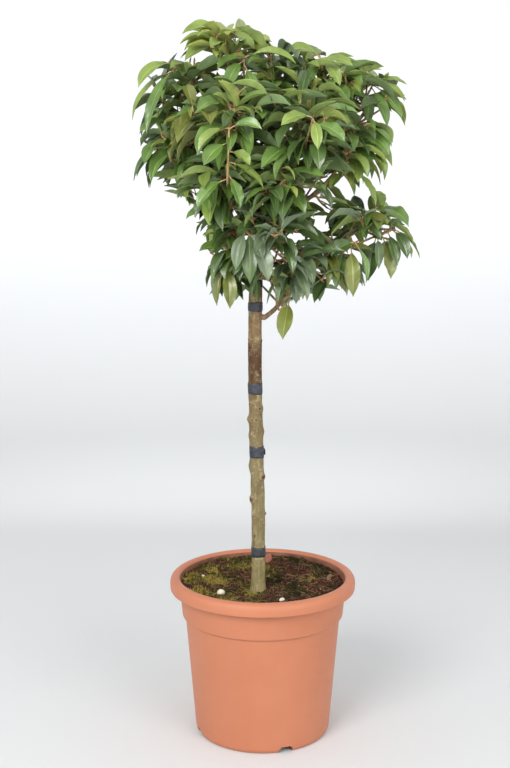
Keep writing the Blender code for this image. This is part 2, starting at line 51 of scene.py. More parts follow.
POT_HEIGHT = 0.234
POT_FLOOR = 0.003
BASE_RADIUS = 0.0988
WALL = 0.0026
SHOULDER_RADIUS = 0.1131
COLLAR_Z = 0.1735
COLLAR_STEP = 0.0044
COLLAR_TOP_RADIUS = 0.1225
RIM_RADIUS = 0.1356
RIM_DROP = 0.0185
LIP = 0.0023
DRAIN_COUNT = 4
DRAIN_WIDTH = 0.0205
DRAIN_DEPTH = 0.030             # the cut goes on under the pot, so that it shows dark
DRAIN_HEIGHT = 0.0092           # the solids have it 1.4 mm lower
DRAIN_TURN = math.radians(19.5)
DRAIN_ROUND = 0.0025            # its rounded corners
POT_CREASE = 35                 # an edge that turns more, in degrees, is sharp
SHOULDER_Z = COLLAR_Z + 0.001
LEDGE_Z = COLLAR_Z + 0.004
THROAT_Z = POT_HEIGHT - 0.0055
INNER_WALL = (                  # height and radius of each corner of the wall inside
    (POT_FLOOR, BASE_RADIUS - WALL - 0.0018),
    (SHOULDER_Z, SHOULDER_RADIUS - WALL),
    (LEDGE_Z, SHOULDER_RADIUS - WALL + COLLAR_STEP),
    (THROAT_Z, COLLAR_TOP_RADIUS - WALL),
)

SOIL_TOP = 0.2160
SOIL_RISE = 0.0065
SOIL_LUMPS = 0.004
SOIL_REACH = 0.118
FOOT_PAD = 0.020

TRUNK_FOOT = Vector((-0.0068, -0.020, SOIL_TOP + CLEAR))
TRUNK_TIP = Vector((-0.0125, -0.002, 0.800))
TRUNK_RADIUS = 0.0097
TRUNK_FLARE = 0.0024
FLARE_HEIGHT = 0.022
TRUNK_TIP_RADIUS = 0.0068
HEAD_BASE = 0.640
SWAY = 0.0013

TIES = (                        # height of each band's middle, and how tall it is
    (0.2740, 0.0145), (0.4205, 0.0170), (0.5120, 0.0160), (0.6275, 0.0130), (0.6600, 0.0110),
)

BOUGH_RADIUS = 0.0042
BOUGH_TIP_RADIUS = 0.0026
BOUGH_POINTS = 5
BOUGH_LEVEL = 0.004             # short level start of a bough at the stem
PATH_STEPS = 40

# Twigs and leaves; angles are in degrees
STEM_RADIUS = 0.0022
STEM_START = 0.003              # short straight start of a mass's stem
TWIG_RADIUS = 0.0015
TWIG_REACH = (0.36, 0.56)       # how far out in its mass a twig ends
TWIG_BORDER = 0.004             # its tip's least distance from the next mass
TWIG_LEAST = 0.02               # its least length
TWIG_TRIES = 14
LEAF_LENGTH = 0.090
LEAF_WIDTH = 0.035
LEAF_THICK = 0.0012
LEAF_ROOT = 0.0007              # how far a leaf's root passes the twig's axis
LEAF_TILT = (35, 75)            # between a twig and its leaves
LEAF_RISE = 8.0                 # how much a leaf rises as it leaves its twig, in a hanging mass
LEAF_LIFT = 30.0                # and how much more in a fully lifted mass
LEAF_STRAY = 15                 # how far that varies
LEAF_BEND = (55, 115)           # how much a leaf arches over
LEAF_LEAST_BEND = 15
LEAF_HANG = 84                  # the steepest that its tip hangs
LEAF_ROLL = 0.6                 # turn about its own midrib, in radians
LEAF_SIZE = (0.76, 1.04)
LEAVES_PER_TWIG = 7
FIRST_LEAF, LAST_LEAF = 0.30, 0.96   # where along a twig they grow
ROOT_PART = 0.10                # the part of a leaf, from its root, that may touch its fellows
LEAF_TRIES = 56
GOLDEN = math.radians(137.508)
SQUASH = 0.85                   # a mass is this much less wide than tall
SPACE_GAP = 0.0006              # how far a mass keeps inside its own space
LIMB_GAP = 0.0010
WOOD_GAP = 0.0005
WOOD_TAPER = (1.15, 0.85)       # a stem or twig at its foot and at its tip, against its radius

# Masses: name, right, back and height of the middle, reach, where its bough leaves the stem,
# number of twigs, and how strongly its twigs and leaves are lifted
MASSES = (
    ("top_left",     -0.048, -0.012, 0.954, 0.080, 0.790, 4, 0.9),
    ("top_middle",    0.022, -0.026, 0.912, 0.079, 0.800, 4, 0.8),
    ("top_right",     0.086, -0.014, 0.904, 0.078, 0.780, 4, 0.7),
    ("top_back",      0.014,  0.080, 0.890, 0.086, 0.775, 4, 0.7),
    ("left_high",    -0.106,  0.008, 0.900, 0.080, 0.760, 4, 0.5),
    ("left_low",     -0.102, -0.032, 0.836, 0.074, 0.715, 4, 0.3),
    ("right_high",    0.138,  0.014, 0.892, 0.075, 0.765, 4, 0.5),
    ("right_middle",  0.112, -0.042, 0.832, 0.074, 0.730, 4, 0.3),
    ("front_left",   -0.050, -0.090, 0.850, 0.086, 0.745, 4, 0.5),
    ("front_right",   0.044, -0.094, 0.850, 0.088, 0.755, 4, 0.5),
    ("front_low",     0.024, -0.088, 0.790, 0.082, 0.700, 4, 0.2),
    ("front_side",   -0.054, -0.064, 0.784, 0.076, 0.705, 4, 0.2),
    ("back_left",    -0.074,  0.086, 0.835, 0.086, 0.735, 4, 0.5),
    ("back_right",    0.080,  0.092, 0.835, 0.086, 0.740, 4, 0.5),
    ("low_left",     -0.034, -0.022, 0.704, 0.076, 0.677, 4, 0.0),
    ("low_front",     0.010, -0.082, 0.730, 0.070, 0.688, 3, 0.0),
    ("low_middle",    0.062, -0.022, 0.698, 0.084, 0.613, 4, 0.1),
    ("low_right",     0.144,  0.005, 0.738, 0.080, 0.680, 4, 0.2),
    ("low_back",     -0.005,  0.078, 0.742, 0.084, 0.696, 4, 0.3),
)

# ---------------------------------------------------------------- sizes of the finer plant
FORKS = 2                       # fine shoots on each twig
SIDE_SHOOTS = 5                 # and on each bough, below its mass
SIDE_START = 0.50               # where on the bough the first of them may leave
SHOOT_LENGTH = (0.026, 0.050)
SHOOT_LEAVES = 4
LOW_LEAVES = 3                  # on the fine shoots of masses lower than the next height
THICK_ABOVE = 0.76
SHOOT_REACH = 0.84              # how far out in the masses' space a fine shoot ends
SHOOT_ROOM = 0.014              # height left for leaves over a shoot's tip
SHOOT_HANG = 0.022              # and below it
SHOOT_TRIES = 12
FINE_REACH = 1.00               # and how far its leaves reach
FINE_TRIES = 30
FINE_STRAY = 0.5                # how much more than the solids' leaves the fine ones vary in lift
FINE_ARCH = (0.20, 0.90)        # and their arch against that of the solids' leaves
CROWD_CELL = 0.085              # leaves whose middles are closer than this may touch
CROWD_PART = 0.18               # the part of a leaf, from its root, that may touch others
REAL_LENGTH = 0.93              # real leaves against the solids' leaves
REAL_WIDTH = 0.85
FINE_SCALE = 0.90               # and the finer shoots' leaves
SHOOT_RADII = (TWIG_RADIUS * 1.1, TWIG_RADIUS * 0.8)     # at its foot and at its tip
PETIOLE = 0.17                  # petiole's share of a leaf's length
PETIOLE_RADII = (0.0013, 0.0009, 0.0008, 0.0008, 0.0009, 0.0005)
BUD_RADII = (0.0010, 0.0012, 0.0011, 0.0007, 0.0002)
PIECE_MOST = 170000             # triangles in one joined piece of leaves
BLADE_STEPS = 16
YOUNG_STEPS = 9
BLADE_THICK = 0.00045
FOLD = (16, 58)                 # how far each half of a blade is folded up, in degrees
PLACED_FOLD = (12, 40)          # and in the sprays that stand out
QUILT = 0.0006                  # depth of the quilting between veins
RIB_SINK = 0.00035              # how deep the rib lies above
KEEL = 0.0007                   # and how far it stands out below, at the leaf's foot
RIM_ANGLE = 62                  # a blade's rim is a sharp edge, its veins aren't
ACROSS = (-1.0, -0.72, -0.38, -0.045, 0.045, 0.38, 0.72, 1.0)
OUTLINE = ((0.00, 0.05), (0.05, 0.20), (0.13, 0.47), (0.24, 0.76), (0.36, 0.94), (0.47, 1.00),
           (0.58, 0.97), (0.70, 0.83), (0.80, 0.60), (0.88, 0.36), (0.95, 0.13), (1.00, 0.01))

POT_SIDES = 200
INSIDE_TOP = 0.004              # how far below the rim's top the painted shade inside starts
FILLET_STEPS = 5
SOIL_RINGS = 110
SOIL_SIDES = 300
SOIL_GAP = 0.0004               # between the bed and the wall
SOIL_SKIRT = (0.012, 0.030)     # depths of the bed's two lower rings
SOIL_RELIEF = (                 # depth, fineness and seed of its lumps, crumbs and grit
    (0.0032, 90.0, 1.3), (0.0019, 260.0, 5.1), (0.0008, 700.0, 8.7),
)
SOIL_DROP = 0.0006
BANK_START = 0.55               # how far out the soil banks up at the back, and how steeply
BANK_RISE = 0.0045
MOSS_TRIANGLES = 90000
MOSS_BLADES = 7                 # in one tuft
BED_MOSS, TUFT_MOSS, THICK_MOSS = 0.06, 0.05, 0.15       # how mossy a spot has to be for each
CRUMBS = 1900
STRAWS = 760
STRAW_POINTS = 6
STRAW_REACH = 0.108             # how far out their middles lie
STRAW_EDGE = 0.116              # and how far out any of them goes
PEBBLES = ((-0.0600, -0.0406, 0.0062), (-0.0889, 0.0320, 0.0026), (0.0269, -0.0706, 0.0036),
           (0.0827, -0.0275, 0.0018))                # right, back, radius
CHIPS = ((0.0090, 0.0980, 0.0062, 0.9), (0.0997, 0.0133, 0.0050, 0.3))   # and how upright they are
CHIP_POINTS = 6                 # across a flake, and along it
MOSSES = (                      # from the lightest patches to the darkest
    ("moss_yellow", (182, 162, 76)), ("moss_olive", (94, 88, 38)), ("moss_dark", (32, 40, 22)),
)

TRUNK_RINGS = 460
TRUNK_SIDES = 56
TRUNK_SUNK = 0.004              # how far the bark goes on into the soil
KNOTS = (                       # height, turn from the front, half width and height, push, kind
    (0.3850, 46, 0.0058, 0.0056, 0.0034, "scar"),
    (0.3517, -56, 0.0060, 0.0058, 0.0036, "scar"),
    (0.3297, 88, 0.0018, 0.0020, 0.0024, "stub"),
    (0.2988, -32, 0.0024, 0.0030, 0.0004, "scar"),
    (0.4677, -80, 0.0040, 0.0046, 0.0030, "knob"),
    (0.4677, -33, 0.0022, 0.0018, 0.0004, "scar"),
    (0.4677, 2, 0.0022, 0.0018, 0.0004, "scar"),
    (0.3984, -86, 0.0050, 0.0085, 0.0030, "knob"),
    (0.4892, -53, 0.0024, 0.0022, 0.0008, "scar"),
    (0.4878, -18, 0.0018, 0.0016, 0.0003, "scar"),
    (0.4835, 35, 0.0026, 0.0028, 0.0010, "scar"),
    (0.4500, 84, 0.0036, 0.0060, 0.0018, "knob"),
    (0.4830, 80, 0.0034, 0.0050, 0.0016, "knob"),
    (0.4440, -84, 0.0036, 0.0050, 0.0014, "knob"),
    (0.5790, 84, 0.0020, 0.0014, 0.0010, "stub"),
    (0.4200, 160, 0.0044, 0.0044, 0.0018, "scar"),
    (0.3300, -150, 0.0046, 0.0046, 0.0020, "scar"),
    (0.5400, 140, 0.0030, 0.0030, 0.0012, "knob"),
    (0.2760, 175, 0.0034, 0.0034, 0.0012, "scar"),
)
SCAR_LIP = (0.0007, 0.80, 0.22)     # a scar's ring: how far out, how far from its middle, how wide
SCAR_HEART = (0.0013, 0.45)     # and its hollow: how deep and how wide, against its half size
SCAR_EDGES = (0.40, 0.95)       # where its heart ends and its lip ends
BARK_RELIEF = (                 # depth, and how fine round the stem and along it
    (0.00080, 1.3, 34.0), (0.00036, 9.0, 55.0), (0.00020, 22.0, 260.0),
)
CREASE_HEIGHT = 0.5786          # of the graft union's crease, with a lip over it
CREASE_TALL = 0.0011
CREASE_DEPTH = 0.0007
LIP_TALL = 0.0012
LIP_OUT = 0.00055
TAPE_ROWS = 8
TAPE_STEPS = 84
TAPE_OUT = 0.0007               # the tape's outside over the bark
TAPE_SUNK = 0.0002              # and its inside under it
TAPE_LAP = 0.0004               # one more layer, and how much the edges turn in
TAPE_WAVE = 0.0006              # of its edges, up and down
TAPE_RAG = 0.0004
TAPE_CREASE = 0.00030
TAPE_FOLD = 0.00025
LOOSE_TIE = 2                   # the band with a loose end
LOOSE_STEPS = 6
BOUGH_RINGS = 26

# The head's outline as seen from the front: right and up, clockwise from its foot on the left
HEAD_EDGE = (
    (-0.075, 0.635), (-0.075, 0.700), (-0.100, 0.750), (-0.130, 0.785), (-0.190, 0.815),
    (-0.190, 0.925), (-0.155, 0.962), (-0.120, 0.972), (-0.115, 1.005), (-0.080, 1.020),
    (-0.045, 1.012), (0.000, 0.992), (0.070, 0.988), (0.120, 0.975), (0.200, 0.945),
    (0.200, 0.890), (0.178, 0.850), (0.170, 0.790), (0.185, 0.755), (0.222, 0.722),
    (0.215, 0.690), (0.130, 0.645), (0.040, 0.630),
)
EDGE_SPARE = 1.06               # the solids' own leaves may pass it by so much
SKY = (                         # openings seen from the front: right and up of the middle, half sizes
    (0.100, 0.802, 0.012, 0.009), (0.146, 0.792, 0.009, 0.012), (0.066, 0.786, 0.006, 0.006),
    (0.110, 0.782, 0.006, 0.006), (0.080, 0.771, 0.007, 0.006), (0.078, 0.740, 0.007, 0.009),
    (0.045, 0.722, 0.010, 0.006), (0.144, 0.722, 0.006, 0.006), (0.168, 0.728, 0.008, 0.008),
    (0.131, 0.695, 0.007, 0.009), (0.016, 0.690, 0.007, 0.014), (0.007, 0.642, 0.008, 0.018),
    (-0.020, 0.719, 0.010, 0.006), (-0.036, 0.753, 0.006, 0.006), (-0.093, 0.781, 0.007, 0.006),
    (-0.092, 0.966, 0.013, 0.008), (-0.159, 0.925, 0.010, 0.006), (0.152, 0.923, 0.010, 0.006),
    (0.139, 0.891, 0.006, 0.010), (0.160, 0.890, 0.006, 0.008),
)
SKY_PARTS = (0.15, 0.30, 0.45, 0.60, 0.75, 0.90)    # where along a leaf it is tried against them
SKY_SIDE = 0.35                 # and how far to each side, of its width
TONE_STEPS = (0.00, 0.95, 1.65)     # how fresh a spray is, with painted light from above counted in, where each next tone starts
FRONT_SHARE = 0.6               # how much standing forward counts in that
TOP_PAINTED_LIGHT = 9.0                 # how much lighter sprays get per metre towards the top: painted light from above
GREY_LOW = (0.74, 0.60)         # below this height so many sprays show greyer leaves,
GREY_HIGH = 0.08                # and so many above it
HEAD_MIDDLE = Vector((0.015, 0.0, 0.84))
GREY, OLIVE = 4, 5
OLIVE_PART = 0.4                # the part of those low sprays that is olive and not grey
# name, upper side, underside and midrib of each colour group, from the head's heart outwards
LEAF_TONES = (
    ("deep", (77, 100, 51), (106, 126, 80), (120, 143, 84)),
    ("mid", (98, 128, 58), (136, 154, 86), (144, 167, 94)),
    ("fresh", (124, 144, 66), (150, 164, 86), (163, 179, 99)),
    ("yellow", (148, 160, 76), (170, 180, 96), (182, 192, 112)),
    ("grey", (101, 117, 85), (118, 134, 104), (122, 141, 102)),
    ("olive", (114, 121, 54), (134, 142, 84), (142, 152, 82)),
)

# Sprays that stand out. Each has its mass, where its shoot starts to show, its shoot's tip, and its
# leaves: how far along the shoot each leaves, its tip, its arch in degrees, its width in mm, how far
# its face turns to the front in radians, and its colour group. A place is given by its pixels across
# and down in the camera's frame and by how far back it is in metres.
SPRAYS = (
    ("top_left", (236, 62, -0.010), (227, 32, -0.014), (
        (1.0, 182, 34, -0.030, 62, 20, 0.8, 2), (0.98, 254, 50, -0.030, 60, 17, 0.6, 2),
        (0.60, 185, 62, -0.040, 72, 23, 0.8, 2), (0.75, 262, 42, 0.010, 60, 18, 0.5, 1))),
    ("top_left", (243, 80, -0.040), (244, 58, -0.050), (
        (1.0, 296, 64, -0.070, 65, 20, 0.7, 2), (0.95, 218, 70, -0.070, 70, 18, 0.6, 1),
        (0.85, 227, 90, -0.085, 60, 19, 0.4, 1), (0.75, 256, 116, -0.090, 45, 22, 0.3, 1),
        (0.40, 235, 104, -0.080, 50, 19, 0.5, 0))),
    ("top_right", (324, 82, -0.030), (320, 58, -0.035), (
        (1.0, 288, 52, -0.060, 75, 19, 0.8, 2), (0.98, 353, 66, -0.050, 50, 17, 0.6, 2),
        (0.80, 340, 86, -0.065, 60, 18, 0.5, 2), (0.60, 304, 92, -0.070, 55, 19, 0.5, 1))),
    ("left_high", (190, 84, -0.004), (174, 64, 0.000), (
        (1.0, 138, 88, -0.030, 80, 19, 0.7, 2), (0.85, 146, 134, -0.050, 50, 19, 0.2, 1),
        (0.70, 133, 120, -0.010, 70, 17, 0.5, 2))),
    ("right_high", (362, 102, -0.006), (374, 82, -0.004), (
        (1.0, 407, 84, -0.016, 50, 15, 0.6, 2), (0.95, 405, 101, -0.030, 60, 15, 0.5, 2),
        (0.85, 402, 119, -0.026, 45, 16, 0.4, 1), (0.75, 387, 128, -0.040, 35, 20, 0.3, 1),
        (0.55, 368, 126, -0.045, 40, 18, 0.3, 0), (0.90, 350, 96, -0.040, 60, 17, 0.5, 2))),
    ("left_low", (184, 152, -0.036), (160, 140, -0.040), (
        (1.0, 144, 164, -0.065, 40, 20, 0.2, 1), (0.95, 134, 181, -0.055, 45, 13, 0.3, 0),
        (0.90, 188, 168, -0.070, 50, 20, 0.4, 1))),
    ("front_left", (227, 186, -0.136), (229, 128, -0.150), (
        (1.0, 199, 152, -0.165, 65, 20, 0.6, 2), (0.98, 262, 130, -0.165, 70, 19, 0.7, 1),
        (0.75, 204, 166, -0.168, 50, 22, 0.6, 1), (0.60, 250, 166, -0.166, 50, 18, 0.5, 2),
        (0.42, 264, 188, -0.158, 48, 16, 0.5, 2), (0.22, 240, 208, -0.154, 40, 18, 0.4, 1),
        (0.12, 197, 208, -0.156, 55, 20, 0.5, 1))),
    ("front_right", (304, 150, -0.130), (313, 118, -0.145), (
        (1.0, 281, 126, -0.165, 70, 18, 0.7, 2), (0.98, 318, 150, -0.168, 60, 17, 0.4, 2),
        (0.80, 345, 142, -0.160, 60, 21, 0.6, 1))),
    ("right_middle", (330, 184, -0.060), (352, 168, -0.060), (
        (1.0, 376, 206, -0.075, 40, 17, 0.3, 2), (0.90, 352, 186, -0.085, 50, 14, 0.5, 3),
        (0.70, 330, 190, -0.085, 60, 14, 0.5, 2))),
    ("low_right", (352, 246, -0.012), (392, 229, -0.004), (
        (0.62, 368, 281, -0.034, 34, 30, 0.2, 0), (0.72, 391, 279, -0.022, 40, 25, 0.2, 5),
        (0.88, 397, 266, -0.030, 35, 18, 0.3, 0), (1.0, 407, 259, -0.026, 48, 21, 0.5, 0),
        (1.0, 420, 258, 0.006, 55, 13, 0.5, 1), (0.92, 404, 226, 0.014, 60, 20, 0.5, 0),
        (0.45, 382, 240, -0.030, 45, 18, 0.5, 0))),
    ("low_right", (348, 236, -0.018), (358, 216, -0.020), (
        (1.0, 391, 226, -0.040, 50, 22, 0.6, 5), (0.80, 366, 240, -0.045, 60, 15, 0.4, 0),
        (0.95, 381, 240, -0.042, 45, 20, 0.5, 0),
        (0.90, 330, 200, -0.050, 60, 13, 0.5, 2))),
    ("low_middle", (330, 256, -0.040), (356, 242, -0.050), (
        (1.0, 331, 257, -0.075, 45, 25, 0.8, 0), (0.95, 366, 283, -0.060, 50, 13, 0.3, 1),
        (0.80, 353, 297, -0.075, 44, 23, 0.2, 5), (0.60, 336, 290, -0.080, 40, 20, 0.3, 0))),
    ("low_middle", (284, 258, -0.040), (290, 270, -0.048), (
        (1.0, 296, 304, -0.058, 40, 21, 0.4, 4), (0.95, 279, 303, -0.056, 36, 17, 0.4, 0),
        (0.85, 307, 301, -0.056, 48, 19, 0.4, 5), (0.70, 267, 304, -0.044, 34, 11, 0.4, 0),
        (0.60, 274, 286, -0.062, 45, 17, 0.5, 5))),
    ("low_middle", (312, 280, -0.028), (332, 274, -0.030), (
        (1.0, 314, 303, -0.050, 35, 19, 0.4, 0), (0.85, 300, 290, -0.060, 45, 20, 0.4, 4))),
    ("low_middle", (280, 309, -0.028), (290, 299, -0.030), (
        (1.0, 283, 340, -0.066, 34, 25, 0.1, 5), (0.70, 300, 300, -0.050, 50, 17, 0.5, 4))),
    ("low_left", (232, 240, -0.050), (226, 262, -0.060), (
        (1.0, 230, 309, -0.078, 36, 24, 0.2, 5), (0.92, 217, 306, -0.070, 35, 17, 0.2, 5),
        (0.60, 199, 251, -0.075, 70, 19, 0.7, 1))),
    ("low_front", (250, 222, -0.096), (246, 232, -0.110), (
        (1.0, 262, 260, -0.128, 50, 23, 0.7, 4), (0.85, 268, 282, -0.128, 45, 25, 0.5, 4),
        (0.70, 236, 270, -0.126, 48, 22, 0.5, 4), (0.50, 250, 284, -0.122, 45, 22, 0.4, 0))),
)

FRAME_ACROSS, FRAME_DOWN = 510, 768
CAMERA_PLACE = (-0.0112, -1.6934, 0.7863)
CAMERA_TILT = 80.92
LENS = 56.25
FLOOR_REACH = 2.2
WALL_REACH = 3.2
WALL_TOP = 2.8
SENSOR = 36.0
WORLD_LIGHT = 0.68
LIGHTS = (                      # name, place, the point it shines at, size, power
    ("key_light", (-1.25, -2.2, 1.9), (0.0, 0.0, 0.6), 1.3, 55.0),
    ("fill_light", (1.55, -2.1, 1.3), (0.0, 0.0, 0.6), 1.5, 28.0),
    ("wall_light", (0.0, 1.3, 1.1), (0.0, WALL_REACH, 0.6), 1.6, 6.0),
)

# Sockets of the node that mixes colours
FACTOR, FIRST_COLOUR, SECOND_COLOUR, MIXED_COLOUR = 0, 6, 7, 2


# ---------------------------------------------------------------- node materials

def srgb(red, green, blue):
    """A display colour, 0 to 255, as the linear colour a shader takes."""
    def line(value):
        value /= 255.0
        return value / 12.92 if value <= 0.04045 else ((value + 0.055) / 1.055) ** 2.4
    return (line(red), line(green), line(blue), 1.0)


class Nodes:
    """A small helper that lays out one material's nodes."""

    def __init__(self, name, roughness, specular):
        self.material = bpy.data.materials.new(name)
        self.material.use_nodes = True
        self.tree = self.material.node_tree
        self.shader = self.tree.nodes["Principled BSDF"]
        self.set("Roughness", roughness)
        self.set("Specular IOR Level", specular)

    def join(self, socket, value):
        """Gives a socket its value, or another node's output."""
        if isinstance(value, bpy.types.NodeSocket):
            self.tree.links.new(value, socket)
        else:
            socket.default_value = value

    def set(self, name, value):
        self.join(self.shader.inputs[name], value)

    def node(self, kind, inputs, output=0, **settings):
        """One output of a new node with these settings and inputs."""
        made = self.tree.nodes.new(kind)
        for name, value in settings.items():
            setattr(made, name, value)
        for name, value in inputs.items():
            self.join(made.inputs[name], value)
        return made.outputs[output]

    def place(self, scale=(1.0, 1.0, 1.0)):
        where = self.node("ShaderNodeTexCoord", {}, "Object")
        return self.node("ShaderNodeMapping", {"Vector": where, "Scale": scale})

    def noise(self, vector, scale, detail=4.0, roughness=0.55):
        inputs = {"Vector": vector, "Scale": scale, "Detail": detail, "Roughness": roughness}
        return self.node("ShaderNodeTexNoise", inputs, "Fac")

    def ramp(self, source, *stops):
        """Colours for a grey value; a stop's colour is a display one, or a linear one of four."""
        made = self.tree.nodes.new("ShaderNodeValToRGB")
        band = made.color_ramp
        while len(band.elements) < len(stops):
            band.elements.new(0.5)
        for element, (place, colour) in zip(band.elements, stops):
            element.position = place
            element.color = colour if len(colour) == 4 else srgb(*colour)
        self.join(made.inputs["Fac"], source)
        return made.outputs["Color"]

    def grey(self, source, low, high, start, end):
        return self.ramp(source, (start, (low,) * 3 + (1,)), (end, (high,) * 3 + (1,)))

    def mix(self, factor, first, second, blend="MIX"):
        inputs = {FACTOR: factor, FIRST_COLOUR: first, SECOND_COLOUR: second}
        return self.node("ShaderNodeMix", inputs, MIXED_COLOUR, data_type="RGBA", blend_type=blend)

    def patches(self, base, pattern, most, start, end, colour):
        """Lays a colour over the base where the pattern is light."""
        return self.mix(self.grey(pattern, 0.0, most, start, end), base, srgb(*colour))

    def bump(self, height, strength, distance):
        inputs = {"Height": height, "Strength": strength, "Distance": distance}
        self.set("Normal", self.node("ShaderNodeBump", inputs))


def shaded(colour, share):
    """A display colour as a linear one, so many times as bright."""
    return tuple(channel * share for channel in srgb(*colour)[:3]) + (1,)


def leaf_material(name, colour, roughness=0.31, specular=0.74, vary=0.22):
    made = Nodes(name, roughness, specular)
    vector = made.place()
    clouds = made.noise(vector, 38.0, 3.0)
    made.set("Base Color", made.ramp(clouds, (0.3, shaded(colour, 1 - vary)),
                                     (0.7, shaded(colour, 1 + vary))))
    made.bump(made.noise(vector, 420.0, 2.0), 0.12, 0.0004)
    return made.material


def bark_material():
    """Olive grey-green low on the stem, tan and brown above, with scars and fine cracks."""
    made = Nodes("stem_bark", 0.78, 0.3)
    above = made.node("ShaderNodeSeparateXYZ", {"Vector": made.place()}, "Z")
    wander = made.noise(made.place((60, 60, 14)), 1.0, 5.0)
    above = made.node("ShaderNodeMath", {0: wander, 1: 0.10, 2: above}, operation="MULTIPLY_ADD")
    height = made.node("ShaderNodeMapRange", {"Value": above, "From Min": 0.21, "From Max": 0.80})
    base = made.ramp(height, (0.00, (150, 137, 91)), (0.20, (138, 126, 86)), (0.40, (126, 113, 80)),
                     (0.56, (122, 104, 72)), (0.63, (84, 56, 34)), (0.69, (76, 50, 30)),
                     (0.72, (136, 110, 80)), (0.82, (128, 102, 74)), (1.00, (84, 68, 48)))
    blotches = made.noise(made.place((75, 75, 48)), 1.0, 4.0, 0.6)
    base = made.patches(base, blotches, 0.50, 0.50, 0.66, (104, 84, 52))
    pale = made.noise(made.place((120, 120, 90)), 1.0, 5.0, 0.62)
    base = made.patches(base, pale, 0.70, 0.53, 0.72, (184, 172, 128))
    streaks = made.noise(made.place((420, 420, 46)), 1.0, 6.0, 0.62)
    base = made.mix(1.0, base, made.grey(streaks, 0.62, 1.18, 0.28, 0.72), "MULTIPLY")
    flecks = made.noise(made.place((190, 190, 420)), 1.0, 3.0)
    made.set("Base Color", made.patches(base, flecks, 0.55, 0.60, 0.74, (188, 178, 140)))
    made.bump(streaks, 0.5, 0.0009)
    return made.material


def grained(name, finish, scale, pattern, relief, *stops):
    """A material with one pattern, for both its colours and its relief."""
    made = Nodes(name, *finish)
    grain = made.noise(made.place(scale), *pattern)
    made.set("Base Color", made.ramp(grain, *stops))
    made.bump(grain, *relief)
    return made.material


def wood_material(name, low, high, roughness=0.7):
    return grained(name, (roughness, 0.35), (300, 300, 120), (1.0, 4.0), (0.4, 0.0005),
                   (0.3, low), (0.7, high))


def pot_material():
    made = Nodes("pot_terracotta_plastic", 0.46, 0.42)
    vector = made.place()
    base = made.ramp(made.noise(vector, 9.0, 3.0), (0.30, (186, 115, 82)), (0.70, (193, 122, 89)))
    scuffs = made.noise(made.place((30, 30, 90)), 1.0, 8.0, 0.7)
    base = made.patches(base, scuffs, 0.30, 0.66, 0.76, (160, 100, 78))
    dust = made.noise(made.place((55, 55, 55)), 1.0, 6.0, 0.7)
    made.set("Base Color", made.patches(base, dust, 0.20, 0.62, 0.80, (214, 162, 138)))
    made.set("Roughness", made.grey(scuffs, 0.43, 0.58, 0.3, 0.7))
    made.bump(made.noise(vector, 900.0, 2.0), 0.08, 0.0003)
    return made.material


def pot_inside_painted_shade_material():
    """The wall inside the pot: duller, and darker as painted shade."""
    return grained("pot_inside_painted_shade", (0.62, 0.3), (26, 26, 70), (1.0, 7.0, 0.65), (0.2, 0.0004),
                   (0.30, (90, 60, 47)), (0.50, (126, 81, 62)), (0.72, (149, 100, 80)))


def tape_material():
    return grained("tie_tape_dark", (0.48, 0.5), (160, 160, 700), (1.0, 4.0), (0.5, 0.0004),
                   (0.35, (34, 36, 42)), (0.60, (54, 58, 66)), (0.82, (112, 116, 122)))


def ground_material(name, *stops):
    return grained(name, (0.95, 0.15), (1, 1, 1), (260.0, 8.0, 0.7), (1.0, 0.0025), *stops)


def soil_material():
    return ground_material("dark_soil", (0.32, (12, 8, 6)), (0.47, (60, 37, 27)),
                           (0.60, (112, 74, 51)), (0.74, (184, 140, 102)))


def moss_material():
    return ground_material("moss_bed", (0.30, (12, 12, 6)), (0.50, (60, 53, 22)),
                           (0.76, (146, 128, 58)))


def plain_material(name, colour, roughness=0.8, vary=0.12):
    return grained(name, (roughness, 0.3), (1, 1, 1), (300.0, 3.0), (0.3, 0.0004),
                   (0.35, shaded(colour, 1 - vary)), (0.7, colour))


# ---------------------------------------------------------------- mesh helpers

def bumps(x, y, z):
    """Smooth noise at a point, between -1 and 1."""
    return noise.noise(Vector((x, y, z)))


def level_way(turn):
    return Vector((math.cos(turn), math.sin(turn), 0.0))


def bands(rows, around):
    """The faces between this many closed rows of points, each with so many points around."""
    faces = []
    for row in range(rows - 1):
        for step in range(around):
            a, b = row * around + step, row * around + (step + 1) % around
            faces.append((a, b, b + around, a + around))
    return faces


def sheet_faces(rows, wide):
    """A closed sheet's faces, with the points of its back after those of its front: first the
    front's, then those round its rim."""
    shift = rows * wide
    front = []
    for row in range(rows - 1):
        for a in range(row * wide, row * wide + wide - 1):
            front.append((a, a + 1, a + wide + 1, a + wide))
    ring = list(range(wide)) + [row * wide + wide - 1 for row in range(1, rows)]
    ring += [(rows - 1) * wide + column for column in reversed(range(wide - 1))]
    ring += [row * wide for row in reversed(range(1, rows - 1))]
    return front, [(b, a, shift + a, shift + b) for a, b in zip(ring, ring[1:] + ring[:1])]


def behind(face, shift):
    """The face on the back of a sheet or shell that matches one on its front."""
    return tuple(shift + corner for corner in reversed(face))


def new_object(name, mesh, *materials):
    obj = bpy.data.objects.new(name, mesh)
    scene.collection.objects.link(obj)
    for made in materials:
        mesh.materials.append(made)
    return obj


def solid_mesh(name, points, faces, slots):
    """A smooth mesh with a material slot for each face."""
    mesh = bpy.data.meshes.new(name)
    mesh.from_pydata(points, [], faces)
    mesh.polygons.foreach_set("material_index", slots)
    mesh.update()
    mesh.shade_smooth()
    return mesh


def dress(obj, slot, *nodes):
    """Every piece rides on the one body and stands for its nodes; its slot is not used."""
    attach(obj, "root")
    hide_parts(*nodes)


